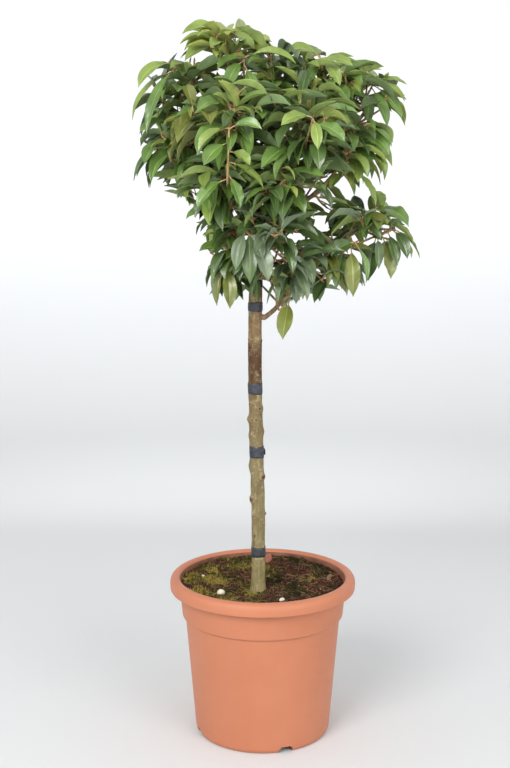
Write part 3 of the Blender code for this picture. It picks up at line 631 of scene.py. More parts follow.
class Builder:
    """Collects points and faces of many small shapes for one joined mesh."""

    def __init__(self):
        self.points, self.faces, self.slots, self.smooth = [], [], [], []
        self.count = 0

    def add(self, points, faces, slots=0, smooth=True):
        first = len(self.points)
        self.points += [tuple(point) for point in points]
        self.count += sum(len(face) - 2 for face in faces)
        for number, face in enumerate(faces):
            self.faces.append(tuple(first + corner for corner in face))
            self.slots.append(slots if isinstance(slots, int) else slots[number])
            self.smooth.append(smooth)

    def make(self, name, *materials):
        mesh = bpy.data.meshes.new(name)
        mesh.from_pydata(self.points, [], self.faces)
        mesh.polygons.foreach_set("material_index", self.slots)
        mesh.polygons.foreach_set("use_smooth", self.smooth)
        mesh.validate()
        mesh.update()
        return new_object(name, mesh, *materials)


def frames(points):
    """A steady frame (direction, side, up) at each point of a line."""
    out = []
    side = None
    for number in range(len(points)):
        before = points[max(number - 1, 0)]
        after = points[min(number + 1, len(points) - 1)]
        direction = (after - before).normalized()
        if side is None:
            side = direction.orthogonal().normalized()
        side = (side - direction * side.dot(direction)).normalized()
        out.append((direction, side, direction.cross(side)))
    return out


def tube_into(builder, points, radii, sides=8, wobble=None):
    """A closed tapering tube along a line."""
    corners = []
    for number, (point, radius, (_, side, up)) in enumerate(zip(points, radii, frames(points))):
        for step in range(sides):
            turn = math.tau * step / sides
            reach = radius * (wobble(number, turn) if wobble else 1.0)
            corners.append(point + (side * math.cos(turn) + up * math.sin(turn)) * reach)
    last = len(corners) - sides
    ends = [tuple(reversed(range(sides))), tuple(range(last, last + sides))]
    builder.add(corners, bands(len(points), sides) + ends)


def smooth_line(points, count):
    """A rounded line through a few points."""
    if len(points) < 3:
        return [points[0].lerp(points[-1], step / (count - 1)) for step in range(count)]
    out = []
    last = len(points) - 1
    for step in range(count):
        place = step / (count - 1) * last
        index = min(int(place), last - 1)
        part = place - index
        a = points[max(index - 1, 0)]
        b, c = points[index], points[index + 1]
        d = points[min(index + 2, last)]
        out.append(0.5 * ((2 * b) + (c - a) * part + (2 * a - 5 * b + 4 * c - d) * part ** 2 +
                          (3 * b - a - 3 * c + d) * part ** 3))
    return out


def turned_mesh(name, profile, sides):
    """A closed mesh turned about the Z axis from (radius, height) points, ends on the axis."""
    bm = bmesh.new()
    rings = []
    for radius, height in profile:
        if radius < 1e-6:
            rings.append([bm.verts.new((0, 0, height))])
        else:
            rings.append([bm.verts.new((radius * math.cos(math.tau * step / sides),
                                        radius * math.sin(math.tau * step / sides), height))
                          for step in range(sides)])
    for first, second in zip(rings, rings[1:]):
        for step in range(sides):
            after = (step + 1) % sides
            corners = [first[step % len(first)], first[after % len(first)],
                       second[after % len(second)], second[step % len(second)]]
            bm.faces.new(list(dict.fromkeys(corners)))
    bmesh.ops.recalc_face_normals(bm, faces=bm.faces)
    mesh = bpy.data.meshes.new(name)
    bm.to_mesh(mesh)
    bm.free()
    mesh.shade_smooth()
    return mesh


# ---------------------------------------------------------------- the source's rule for the limbs

def trunk_centre(height):
    """The stem's axis, which leans and sways a little."""
    part = (height - TRUNK_FOOT.z) / (TRUNK_TIP.z - TRUNK_FOOT.z)
    centre = TRUNK_FOOT.lerp(TRUNK_TIP, part)
    centre.x += SWAY * math.sin(part * 9.0)
    centre.y += SWAY * math.sin(part * 7.0 + 1.0) - SWAY * math.sin(1.0)
    return centre


def trunk_radius(height):
    """The stem's radius: a flare at its foot, even above it, thinner within the head."""
    flare = TRUNK_FLARE * math.exp(-(height - TRUNK_FOOT.z) / FLARE_HEIGHT * 2.2)
    thin = min(max((height - HEAD_BASE) / (TRUNK_TIP.z - HEAD_BASE), 0.0), 1.0)
    return TRUNK_RADIUS + flare - (TRUNK_RADIUS - TRUNK_TIP_RADIUS) * thin


class Mass:
    """One mass of foliage: its row of sizes, its own random draws and its bough's path."""

    def __init__(self, index, row):
        self.index = index
        (self.name, right, back, height, self.reach, self.start, self.twigs, self.lift) = row
        self.middle = Vector((right, back, height))
        self.rng = random.Random(SEED * 100 + index)
        self.path = []
        self.entry = 0


def border(mass, masses, point):
    """How far inside the mass's own space a point is, up to a metre."""
    nearest = 1.0
    own = (point - mass.middle).length_squared - mass.reach ** 2
    for other in masses:
        if other is not mass:
            theirs = (point - other.middle).length_squared - other.reach ** 2
            span = 2 * (other.middle - mass.middle).length
            nearest = min(nearest, (theirs - own) / span)
    return nearest


def bezier(a, b, c, d, t):
    """The point at t on the curve from a to d with handles b and c."""
    s = 1 - t
    return a * s ** 3 + b * (3 * s * s * t) + c * (3 * s * t * t) + d * t ** 3


def lay_limb(mass, masses):
    """Lays the mass's limb from the stem's side or tip to its middle, and finds where it enters."""
    height = mass.start
    centre = trunk_centre(height)
    toward = mass.middle - centre
    level = Vector((toward.x, toward.y, 0.0)).normalized()
    if height >= TRUNK_TIP.z - 0.0001:
        first = TRUNK_TIP + UP * CLEAR
        out = UP
    else:
        slope = (trunk_centre(height + 0.01) - trunk_centre(height - 0.01)) / 0.02
        shift = BOUGH_RADIUS * 1.15 * abs(slope.dot(level))
        first = centre + level * (trunk_radius(height - BOUGH_RADIUS) + shift + CLEAR)
        out = level
    second = first + out * BOUGH_LEVEL
    length = (mass.middle - second).length
    handle_a = second + (out * 0.55 + UP * 0.35) * length * 0.45
    handle_b = mass.middle - (toward.normalized() * 0.6 + UP * 0.3) * length * 0.35
    path = [first] + [bezier(second, handle_a, handle_b, mass.middle, step / PATH_STEPS)
                      for step in range(PATH_STEPS + 1)]
    entry = len(path) - 1
    while entry > 1 and border(mass, masses, path[entry - 1]) > 0.006:
        entry -= 1
    entry = max(entry, int(len(path) * 0.45))
    mass.path, mass.entry = path, entry
    mass.direction = (path[entry] - path[entry - 1]).normalized()


def bough_line(mass):
    """The few points and radii of the bough's solid, up to where it enters its mass."""
    end = mass.path[mass.entry] - mass.direction * CLEAR
    run = mass.path[:mass.entry]
    picks = [0, 1] + [1 + round((len(run) - 1) * step / (BOUGH_POINTS - 2))
                      for step in range(1, BOUGH_POINTS - 2)]
    points = [run[min(pick, len(run) - 1)] for pick in picks]
    points = [point for number, point in enumerate(points) if number < 2 or
              (point - points[number - 1]).length > 0.004]
    points = [point for point in points if (point - end).length > 0.006 or point in points[:2]]
    points.append(end)
    count = len(points)
    radii = [BOUGH_RADIUS + (BOUGH_TIP_RADIUS - BOUGH_RADIUS) * step / (count - 1)
             for step in range(count)]
    radii[0] *= 1.15
    return points, radii


# ---------------------------------------------------------------- the source's rule for the leaves

class Leaf:
    """A leaf as an arc: its root, heading, slope, bend, size and roll, with all angles in radians."""

    def __init__(self, root, heading, pitch, bend, length, width, roll):
        self.root, self.heading, self.pitch = root, heading, pitch
        self.bend, self.length, self.width, self.roll = bend, length, width, roll
        self.twig, self.young, self.tone = 0, False, None

    def spine(self, part):
        """The place on its midrib at this part of its length, with the ways along, sideways and up."""
        angle = self.pitch - self.bend * part
        radius = self.length / self.bend
        run = radius * (math.sin(self.pitch) - math.sin(angle))
        rise = radius * (math.cos(angle) - math.cos(self.pitch))
        level = level_way(self.heading)
        place = self.root + level * run + UP * rise
        along = level * math.cos(angle) + UP * math.sin(angle)
        side = Matrix.Rotation(self.roll, 3, along) @ level.cross(UP)
        return place, along, side, side.cross(along)


def leaf_vertices(leaf):
    """The corners of the solids' plain leaf."""
    start, along, _, _ = leaf.spine(0.0)
    tip, _, _, _ = leaf.spine(1.0)
    middle, _, side, up = leaf.spine(0.48)
    half, thick = leaf.width / 2, LEAF_THICK / 2
    fold = up * (leaf.width * 0.10)
    return {
        "root": start - along * LEAF_ROOT,
        "tip": tip,
        "left": middle + side * half + fold * 0.5,
        "right": middle - side * half + fold * 0.5,
        "top": middle + up * thick - fold * 0.3,
        "under": middle - up * thick - fold * 0.3,
    }


def blade_sheet(leaf, start=0.0):
    """The plain leaf as a thin sheet, from its root or from further out."""
    corners = leaf_vertices(leaf)
    root = corners["root"] if start == 0.0 else leaf.spine(start)[0]
    points = [root, corners["left"], corners["tip"], corners["right"],
              (corners["top"] + corners["under"]) / 2]
    return points, [(0, 1, 4), (1, 2, 4), (2, 3, 4), (3, 0, 4)]


def limb_tree(lines, extra):
    """Square sleeves round some limbs, so much thicker than they are, for tests of overlap."""
    points, faces = [], []
    for line, radii in lines:
        first = len(points)
        for point, radius, (_, side, up) in zip(line, radii, frames(line)):
            wide = (radius + extra) * 1.35
            points += [point + side * wide, point + up * wide, point - side * wide, point - up * wide]
        for ring in range(len(line) - 1):
            low = first + 4 * ring
            for step in range(4):
                after = (step + 1) % 4
                faces.append((low + step, low + after, low + 4 + after, low + 4 + step))
    return BVHTree.FromPolygons(points, faces)


def fits(leaf, mass, masses, limbs, own):
    """Whether the blade keeps to its mass's space, clear of the limbs and of its fellows."""
    corners = leaf_vertices(leaf)
    for point in corners.values():
        if border(mass, masses, point) < SPACE_GAP:
            return False
    for point in corners.values():
        away = point - mass.middle
        away.z *= SQUASH
        if away.length > mass.reach:
            return False
    points, faces = blade_sheet(leaf)
    if BVHTree.FromPolygons(points, faces).overlap(limbs):
        return False
    points, faces = blade_sheet(leaf, ROOT_PART)
    sheet = BVHTree.FromPolygons(points, faces)
    return not any(sheet.overlap(other) for other in own)


def mass_stem(mass):
    """The stem inside a mass: from the bough's tip through the mass's middle."""
    start = mass.path[mass.entry]
    stem = [start, start + mass.direction * STEM_START]
    if (mass.middle - start).length > 4 * STEM_START:
        stem.append(mass.middle)
    stem.append(stem[-1] + (stem[-1] - stem[-2]).normalized() * mass.reach * 0.10)
    return stem


def mass_twigs(mass, masses, limbs, stem, phase):
    """Twigs that fork from the stem and spread round the mass's own axis, and up."""
    rng = mass.rng
    core = Vector((TRUNK_TIP.x, TRUNK_TIP.y, TRUNK_TIP.z - 0.03))
    axis = ((mass.middle - core).normalized() + Vector((0, 0, mass.lift))).normalized()
    side = axis.orthogonal().normalized()
    across = axis.cross(side)
    twigs = []
    for twig in range(mass.twigs):
        spread = 1.0 - (twig + 0.5) / mass.twigs * 1.05
        turn = phase + twig * GOLDEN
        ring = math.sqrt(max(0.0, 1.0 - spread * spread))
        way = axis * spread + (side * math.cos(turn) + across * math.sin(turn)) * ring
        way = (way + Vector((0, 0, 0.25 + 0.35 * mass.lift))).normalized()
        base = stem[1].lerp(mass.middle, 0.45 + 0.5 * rng.random())
        end = mass.middle + way * mass.reach * rng.uniform(*TWIG_REACH)
        for _ in range(TWIG_TRIES):
            line = ([base, end], [TWIG_RADIUS * share for share in WOOD_TAPER])
            if (border(mass, masses, end) > TWIG_BORDER and (end - base).length > TWIG_LEAST and
                    not limb_tree([line], WOOD_GAP).overlap(limbs)):
                twigs.append(line)
                break
            end = end.lerp(mass.middle + axis * mass.reach * 0.3, 0.18)
    return twigs


def sprout(rng, root, along, swing, lift, scale):
    """A leaf as it leaves its twig: outwards and a little upwards, then arching over."""
    tilt = math.radians(rng.uniform(*LEAF_TILT))
    first = along.orthogonal().normalized()
    second = along.cross(first)
    out = along * math.cos(tilt) + (first * math.cos(swing) + second * math.sin(swing)) * math.sin(tilt)
    rise = math.radians(LEAF_RISE + LEAF_LIFT * lift + rng.uniform(-LEAF_STRAY, LEAF_STRAY))
    pitch = 0.5 * math.asin(max(-1.0, min(1.0, out.z))) + rise
    bend = min(math.radians(rng.uniform(*LEAF_BEND)), pitch + math.radians(LEAF_HANG))
    size = rng.uniform(*LEAF_SIZE) * scale
    return Leaf(root, math.atan2(out.y, out.x), pitch, max(bend, math.radians(LEAF_LEAST_BEND)),
                LEAF_LENGTH * size, LEAF_WIDTH * size, rng.uniform(-LEAF_ROLL, LEAF_ROLL))


def mass_leaves(mass, masses, limbs, lines, phase):
    """Leaves in a spiral along each twig, where there is room for them."""
    rng = mass.rng
    wood = limb_tree(lines, 0.0)
    leaves, sheets = [], []
    for twig, (line, _) in enumerate(lines[1:]):
        base, end = line
        along = (end - base).normalized()
        for number in range(LEAVES_PER_TWIG):
            place = FIRST_LEAF + (LAST_LEAF - FIRST_LEAF) * (number / (LEAVES_PER_TWIG - 1)) ** 0.8
            root = base.lerp(end, place)
            for attempt in range(LEAF_TRIES):
                stray = (rng.random() - 0.5) * (0.4 + 0.15 * attempt)
                swing = phase + twig + number * GOLDEN + stray
                leaf = sprout(rng, root, along, swing, mass.lift, 1.0 - 0.007 * attempt)
                if fits(leaf, mass, masses, limbs, sheets + [wood]):
                    leaf.twig = twig
                    leaves.append(leaf)
                    sheets.append(BVHTree.FromPolygons(*blade_sheet(leaf, ROOT_PART)))
                    break
    return leaves


def grow(mass, masses, limbs):
    """The mass's stem and twigs as lines with their radii, and the leaves on the twigs."""
    stem = mass_stem(mass)
    phase = mass.rng.uniform(0.0, math.tau)
    lines = [(stem, [STEM_RADIUS] * len(stem))] + mass_twigs(mass, masses, limbs, stem, phase)
    return lines, mass_leaves(mass, masses, limbs, lines, phase)


# ---------------------------------------------------------------- the finer plant

class Crowd:
    """Every leaf so far, sorted by place, to keep fine leaves out of each other."""

    def __init__(self):
        self.cells = {}

    def cell(self, place):
        return tuple(math.floor(axis / CROWD_CELL) for axis in place)

    def sheet(self, leaf):
        points, faces = blade_sheet(leaf, CROWD_PART)
        return leaf.spine(0.5)[0], BVHTree.FromPolygons(points, faces)

    def add(self, leaf):
        middle, tree = self.sheet(leaf)
        self.cells.setdefault(self.cell(middle), []).append((middle, tree))

    def clear(self, leaf):
        middle, tree = self.sheet(leaf)
        home = self.cell(middle)
        for cell in product(*((axis - 1, axis, axis + 1) for axis in home)):
            for other, blade in self.cells.get(cell, ()):
                if (middle - other).length < CROWD_CELL and tree.overlap(blade):
                    return False
        return True


def seen_place(point):
    """Where a point is seen from the front: right and up in the plane of the stem."""
    eye = Vector(CAMERA_PLACE)
    near = -eye.y / (point.y - eye.y)
    return eye.x + (point.x - eye.x) * near, eye.z + (point.z - eye.z) * near


def inside_edge(point, spare=1.0):
    """Whether a point is seen inside the head's outline, drawn so much larger."""
    right, height = seen_place(point)
    right = HEAD_MIDDLE.x + (right - HEAD_MIDDLE.x) / spare
    height = HEAD_MIDDLE.z + (height - HEAD_MIDDLE.z) / spare
    inside = False
    for (x, z), (next_x, next_z) in zip(HEAD_EDGE, HEAD_EDGE[1:] + HEAD_EDGE[:1]):
        if (z > height) != (next_z > height):
            if right < x + (next_x - x) * (height - z) / (next_z - z):
                inside = not inside
    return inside


def within_head(point, masses, further):
    """Whether a point lies in the head's outline and in the space that some mass reaches."""
    if not inside_edge(point):
        return False
    for mass in masses:
        away = point - mass.middle
        away.z *= SQUASH
        if away.length < mass.reach * further:
            return True
    return False


def against_sky(leaf):
    """Whether the leaf would close one of the head's openings, as seen from the front."""
    for part in SKY_PARTS:
        place, _, side, _ = leaf.spine(part)
        side = side * leaf.width * SKY_SIDE
        for point in (place, place + side, place - side):
            right, height = seen_place(point)
            for x, z, wide, tall in SKY:
                if ((right - x) / wide) ** 2 + ((height - z) / tall) ** 2 < 1.0:
                    return True
    return False


def new_shoot(start, lift, masses, limbs, rng):
    """A fine shoot from a point on a limb, outwards and upwards, where there is room for it."""
    outward = (start - HEAD_MIDDLE).normalized()
    for _ in range(SHOOT_TRIES):
        stray = Vector([rng.uniform(-1, 1) for _ in range(3)])
        way = (outward * rng.uniform(0.1, 0.8) + UP * (0.15 + 0.5 * lift) + stray * 0.9).normalized()
        length = rng.uniform(*SHOOT_LENGTH)
        tip = start + way * length
        sag = way.orthogonal().normalized() * rng.uniform(-0.06, 0.06) - UP * 0.05
        sleeve = limb_tree([([start.lerp(tip, 0.3), tip], [TWIG_RADIUS] * 2)], WOOD_GAP)
        room = within_head(tip + UP * SHOOT_ROOM, masses, SHOOT_REACH)
        if room and inside_edge(tip - UP * SHOOT_HANG) and not sleeve.overlap(limbs):
            return [start, start.lerp(tip, 0.5) + sag * length, tip]
    return None


def seen_at(across, down, back):
    """The point at this place in the camera's frame and this far back."""
    lean = math.radians(90 - CAMERA_TILT)
    focus = LENS / SENSOR * FRAME_DOWN
    ahead = Vector((0, math.cos(lean), -math.sin(lean)))
    upward = Vector((0, math.sin(lean), math.cos(lean)))
    ray = ahead + Vector(((across - FRAME_ACROSS / 2) / focus, 0, 0))
    ray += upward * (FRAME_DOWN / 2 - down) / focus
    eye = Vector(CAMERA_PLACE)
    return eye + ray * (back - eye.y) / ray.y


def leaf_between(root, tip, arch, width, facing):
    """A leaf from its root to a given tip."""
    reach = tip - root
    bend = math.radians(arch)
    slope = math.atan2(reach.z, math.hypot(reach.x, reach.y))
    length = reach.length * (bend / 2) / math.sin(bend / 2)
    roll = facing if reach.x > 0 else -facing
    return Leaf(root, math.atan2(reach.y, reach.x), slope + bend / 2, bend, length, width, roll)


def placed_sprays(mass):
    """The mass's sprays that stand out: each one's shoot, from the nearest wood, and its leaves."""
    made = []
    for name, shown, tip, leaves in SPRAYS:
        if name != mass.name:
            continue
        shown, tip = seen_at(*shown), seen_at(*tip)
        wood = [point for line, _ in mass.lines for point in smooth_line(line, 9)]
        wood += mass.path[mass.entry // 2:mass.entry]
        start = min(wood, key=lambda point: (point - shown).length)
        line = [start, shown, tip]
        spray = []
        for place, across, down, back, arch, width, facing, tone in leaves:
            root = shown.lerp(tip, place)
            leaf = leaf_between(root, seen_at(across, down, back), arch, width / 1000, facing)
            leaf.tone = tone
            spray.append(leaf)
        made.append((line, spray))
    return made


def fine_shoots(mass, masses, limbs, twigs, rng):
    """Fine shoots on the mass's twigs and on its bough: each one's line and its parent twig."""
    starts = []
    for twig, (line, _) in enumerate(twigs):
        starts += [(line[0].lerp(line[-1], rng.uniform(0.35, 0.95)), twig) for _ in range(FORKS)]
    for number in range(SIDE_SHOOTS):
        step = (number + rng.random()) / SIDE_SHOOTS
        place = int(mass.entry * (SIDE_START + (0.98 - SIDE_START) * step))
        starts.append((mass.path[place], rng.randrange(len(twigs))))
    shoots = [(new_shoot(start, mass.lift, masses, limbs, rng), twig) for start, twig in starts]
    return [(line, twig) for line, twig in shoots if line]


def fine_leaves(mass, masses, limbs, crowd, shoots, rng):
    """Leaves along the fine shoots, by the source's rule, wherever there is room."""
    leaves, leafy = [], []
    for line, twig in shoots:
        before = len(leaves)
        base, end = line[0], line[-1]
        along = (end - base).normalized()
        phase = rng.uniform(0.0, math.tau)
        count = SHOOT_LEAVES if mass.middle.z > THICK_ABOVE else LOW_LEAVES
        for number in range(count):
            root = base.lerp(end, 0.30 + 0.68 * number / (count - 1))
            for attempt in range(FINE_TRIES):
                swing = phase + number * GOLDEN + (rng.random() - 0.5) * (0.4 + 0.2 * attempt)
                lift = mass.lift + rng.uniform(-FINE_STRAY, FINE_STRAY)
                leaf = sprout(rng, root, along, swing, lift, FINE_SCALE * (1.0 - 0.010 * attempt))
                leaf.width *= REAL_WIDTH
                leaf.bend *= rng.uniform(*FINE_ARCH)
                corners = leaf_vertices(leaf).values()
                if not all(within_head(point, masses, FINE_REACH) for point in corners):
                    continue
                blade = BVHTree.FromPolygons(*blade_sheet(leaf, 0.05))
                if not blade.overlap(limbs) and not against_sky(leaf) and crowd.clear(leaf):
                    leaf.twig = twig
                    leaves.append(leaf)
                    crowd.add(leaf)
                    break
        if len(leaves) > before:
            leafy.append((line, twig))
    return leaves, leafy


def outline(part):
    """A blade's half width at this part of its length."""
    for (a, low), (b, high) in zip(OUTLINE, OUTLINE[1:]):
        if part <= b:
            share = (part - a) / (b - a)
            share = share * share * (3 - 2 * share) * 0.35 + share * 0.65
            return low + (high - low) * share
    return 0.0


def blade_faces(steps):
    """A blade's triangles and rim, with each one's slot: its upper side, underside and ribs."""
    wide = len(ACROSS)
    shift = wide * (steps + 1)
    front, rim = sheet_faces(steps + 1, wide)
    faces, slots = [], []
    for a, b, c, d in front:
        rib = a % wide == (wide - 1) // 2 and a // wide < steps - 2
        faces += [(a, b, c), (a, c, d), behind((a, b, c), shift), behind((a, c, d), shift)]
        slots += [2, 2, 3, 3] if rib else [0, 0, 1, 1]
    return faces + rim, slots + [1] * len(rim)


def blade_into(builder, petioles, leaf, rng):
    """One leaf: a thin closed blade, folded along its rib and arched, and its petiole."""
    steps = YOUNG_STEPS if leaf.young else BLADE_STEPS
    fold = math.radians(rng.uniform(*(FOLD if leaf.tone is None else PLACED_FOLD)))
    curl = rng.uniform(0.00, 0.16)
    wave = rng.uniform(0.03, 0.12)
    waves = rng.uniform(1.5, 3.6)
    phase = rng.uniform(0, math.tau)
    hook = rng.uniform(-0.10, 0.16)
    twist = rng.uniform(-0.35, 0.35)
    top, under = [], []
    for step in range(steps + 1):
        t = step / steps
        place, along, side, up = leaf.spine(PETIOLE + (1 - PETIOLE) * t)
        turn = Matrix.Rotation(twist * t, 3, along)
        side, up = turn @ side, turn @ up
        half = leaf.width / 2 * outline(t)
        place = place + up * (hook * leaf.width * t * t * 0.5)
        thick = BLADE_THICK * (0.6 + 0.4 * math.sin(math.pi * t))
        for column, u in enumerate(ACROSS):
            reach = abs(u)
            lift = math.sin(fold) * reach - curl * reach ** 2.5
            lift += wave * math.sin(math.tau * waves * t + phase + (0.6 if u > 0 else 0)) * reach ** 2
            vein = (step + min(column, len(ACROSS) - 1 - column)) % 2 - 0.5
            relief = QUILT * vein * min(1.0, 8 * t * (1 - t)) if 0.1 < reach < 0.9 else 0.0
            relief -= RIB_SINK if reach < 0.1 else 0.0
            point = place + side * (half * math.cos(fold) * u) + up * (half * lift + relief)
            top.append(point)
            keel = KEEL * (1 - t) if reach < 0.1 else 0.0
            under.append(point - up * (thick * (0.35 if reach > 0.9 else 1.0) + keel))
    builder.add(top + under, *blade_faces(steps))
    stalk = [leaf.spine(PETIOLE * step / 4)[0] for step in range(5)]
    joint, _, _, up = leaf.spine(PETIOLE + 0.05)
    tube_into(petioles, stalk + [joint - up * 0.0008], PETIOLE_RADII, 6)


def bud_into(builder, point, way, rng):
    """A pointed bud at a shoot's tip."""
    length = rng.uniform(0.003, 0.006)
    line = [point + way * length * part for part in (-0.2, 0.1, 0.4, 0.7, 1.0)]
    tube_into(builder, line, BUD_RADII, 7)


# ---------------------------------------------------------------- pot and soil

def inner_wall(height):
    """The radius inside the pot at this height: up to the shoulder, over the ledge and on."""
    for (low, narrow), (high, wide) in zip(INNER_WALL, INNER_WALL[1:]):
        if height <= high:
            break
    part = (height - low) / (high - low)
    return narrow * (1 - part) + wide * part


def filleted(corners):
    """(radius, height, fillet) corners as a profile with each fillet drawn as an arc."""
    out = [Vector(corners[0][:2])]
    for before, (radius, height, fillet), after in zip(corners, corners[1:], corners[2:]):
        here = Vector((radius, height))
        before, after = Vector(before[:2]) - here, Vector(after[:2]) - here
        start = here + before.normalized() * min(fillet, before.length * 0.48)
        end = here + after.normalized() * min(fillet, after.length * 0.48)
        for step in range(FILLET_STEPS + 1):
            part = step / FILLET_STEPS
            out.append(start * (1 - part) ** 2 + here * (2 * part * (1 - part)) + end * part ** 2)
    return [(point.x, point.y) for point in out + [Vector(corners[-1][:2])]]


def cut_drain(pot, turn):
    """Cuts one drain notch, with rounded corners, out of the pot's foot."""
    bm = bmesh.new()
    bmesh.ops.create_cube(bm, size=1.0)
    bmesh.ops.scale(bm, vec=(DRAIN_DEPTH, DRAIN_WIDTH, 2 * DRAIN_HEIGHT), verts=bm.verts)
    inward = [edge for edge in bm.edges if abs(edge.verts[0].co.x - edge.verts[1].co.x) > 0.01]
    bmesh.ops.bevel(bm, geom=inward, offset=DRAIN_ROUND, segments=4, affect="EDGES")
    mesh = bpy.data.meshes.new("drain_cutter")
    bm.to_mesh(mesh)
    bm.free()
    cutter = new_object("drain_cutter", mesh)
    radius = BASE_RADIUS + 0.005 - DRAIN_DEPTH / 2
    cutter.location = (radius * math.cos(turn), radius * math.sin(turn), 0.0)
    cutter.rotation_euler = (0.0, 0.0, turn)
    cut = pot.modifiers.new("drain", "BOOLEAN")
    cut.solver = "EXACT"
    cut.object = cutter
    graph = bpy.context.evaluated_depsgraph_get()
    graph.update()
    mesh = bpy.data.meshes.new_from_object(pot.evaluated_get(graph))
    pot.modifiers.clear()
    pot.data = mesh
    bpy.data.objects.remove(cutter, do_unlink=True)


def build_pot():
    """The pot, turned from its profile, with its drain notches cut, and painted shade on its inside and
    in the notches.
    """
    top = POT_HEIGHT
    lip_foot = top - RIM_DROP
    under = top - 0.0075
    profile = filleted([
        (0.0, POT_FLOOR, 0),
        (inner_wall(POT_FLOOR), POT_FLOOR, 0.003),
        (inner_wall(SHOULDER_Z), SHOULDER_Z, 0.001),
        (inner_wall(LEDGE_Z), LEDGE_Z, 0.001),
        (inner_wall(THROAT_Z), THROAT_Z, 0.002),
        (COLLAR_TOP_RADIUS, top - 0.0010, 0.002),
        (COLLAR_TOP_RADIUS + 0.0060, top, 0.004),
        (RIM_RADIUS - 0.0020, top - 0.0028, 0.004),
        (RIM_RADIUS, top - 0.0085, 0.004),
        (RIM_RADIUS - 0.0008, lip_foot, 0.0008),
        (RIM_RADIUS - 0.0008 - LIP, lip_foot, 0.0008),
        (RIM_RADIUS - 0.0012 - LIP, under, 0.002),
        (COLLAR_TOP_RADIUS, under, 0.002),
        (SHOULDER_RADIUS + COLLAR_STEP, COLLAR_Z + 0.0025, 0.0018),
        (SHOULDER_RADIUS, COLLAR_Z, 0.0010),
        (BASE_RADIUS, 0.005, 0.003),
        (BASE_RADIUS - 0.0033, 0.0, 0.002),
        (0.0, 0.0, 0),
    ])
    pot = new_object("pot_shell", turned_mesh("pot_shell", profile, POT_SIDES), pot_material(),
                     pot_inside_painted_shade_material())
    # Faces inside the wall, from a little below the rim down, take the darker inside material: painted
    # shade.
    for face in pot.data.polygons:
        middle = face.center
        if middle.z < top - INSIDE_TOP and middle.xy.length < inner_wall(middle.z) + WALL / 2:
            face.material_index = 1
    for index in range(DRAIN_COUNT):
        cut_drain(pot, DRAIN_TURN + index * math.tau / DRAIN_COUNT)
    # Faces low inside the foot, round the cut notches, take the same darker material: painted shade in
    # the notches' hollows.
    for face in pot.data.polygons:
        middle = face.center
        if 0 < middle.z < DRAIN_HEIGHT + 0.0003 and middle.xy.length < BASE_RADIUS - 0.004:
            face.material_index = 1
    pot.data.shade_smooth()
    pot.data.set_sharp_from_angle(angle=math.radians(POT_CREASE))
    dress(pot, "pot_plastic", "pot")


def soil_height(x, y):
    """The solids' level of the soil: flat at the stem, then lumpy and rising to the wall."""
    away = math.hypot(x - TRUNK_FOOT.x, y - TRUNK_FOOT.y)
    blend = min(max((away - FOOT_PAD) / 0.030, 0.0), 1.0)
    rise = SOIL_RISE * (math.hypot(x, y) / SOIL_REACH) ** 2
    mound = 0.003 * math.exp(-((x - 0.055) ** 2 + (y - 0.070) ** 2) / 0.0010)
    return SOIL_TOP + blend * (rise + SOIL_LUMPS * bumps(x * 28.0, y * 28.0, 3.7) + mound)


def soil_surface(x, y):
    """The soil's level with its finer lumps and crumbs."""
    fine = sum(depth * bumps(x * scale, y * scale, seed) for depth, scale, seed in SOIL_RELIEF)
    edge = max(0.0, math.hypot(x, y) / SOIL_REACH - BANK_START)
    banked = BANK_RISE * max(0.0, y) / SOIL_REACH * edge * (0.6 + 0.8 * abs(x) / 0.1)
    return soil_height(x, y) + fine + banked - SOIL_DROP


def mossy(x, y):
    """How much moss grows at a spot: patches, most of it left, in front and at the back."""
    patch = bumps(x * 30.0 + 4.0, y * 30.0, 2.0) + 0.5 * bumps(x * 85.0, y * 85.0, 9.0)
    lean = -0.9 * x / SOIL_REACH + (0.25 if y > 0.05 else 0.0)
    return patch + 0.30 * lean + 0.01


def build_soil():
    """The bed: rings of points out to the wall and a little down inside it, closed below."""
    rings = SOIL_RINGS + len(SOIL_SKIRT)
    wall = inner_wall(SOIL_TOP + SOIL_RISE) - SOIL_GAP
    points = []
    for ring in range(1, rings + 1):
        for step in range(SOIL_SIDES):
            if ring <= SOIL_RINGS:
                turn = math.tau * (step + 0.5 * (ring % 2)) / SOIL_SIDES
                away = wall * ring / SOIL_RINGS
                x, y = away * math.cos(turn), away * math.sin(turn)
                points.append((x, y, soil_surface(x, y)))
            else:
                turn = math.tau * (step + 0.5 * (SOIL_RINGS % 2)) / SOIL_SIDES
                level = SOIL_TOP - SOIL_SKIRT[ring - SOIL_RINGS - 1]
                away = inner_wall(level) - SOIL_GAP
                points.append((away * math.cos(turn), away * math.sin(turn), level))
    middle, bottom = len(points), len(points) + 1
    points += [(0.0, 0.0, soil_surface(0.0, 0.0)), (0.0, 0.0, SOIL_TOP - SOIL_SKIRT[-1])]
    faces = bands(rings, SOIL_SIDES)
    last = middle - SOIL_SIDES
    for step in range(SOIL_SIDES):
        after = (step + 1) % SOIL_SIDES
        faces += [(middle, step, after), (bottom, last + after, last + step)]
    faces = [face if len(face) == 3 else (face[0], face[3], face[2], face[1]) for face in faces]
    slots = []
    for face in faces:
        x, y = (sum(points[corner][axis] for corner in face) / len(face) for axis in (0, 1))
        slots.append(1 if mossy(x, y) > BED_MOSS else 0)
    mesh = solid_mesh("soil_bed", points, faces, slots)
    dress(new_object("soil_bed", mesh, soil_material(), moss_material()), "soil", "soil")


def on_soil(rng, reach=0.117):
    """A random spot on the soil, off the stem."""
    while True:
        turn, away = rng.uniform(0, math.tau), reach * math.sqrt(rng.random())
        x, y = away * math.cos(turn), away * math.sin(turn)
        if math.hypot(x - TRUNK_FOOT.x, y - TRUNK_FOOT.y) > trunk_radius(TRUNK_FOOT.z) + 0.0010:
            return x, y


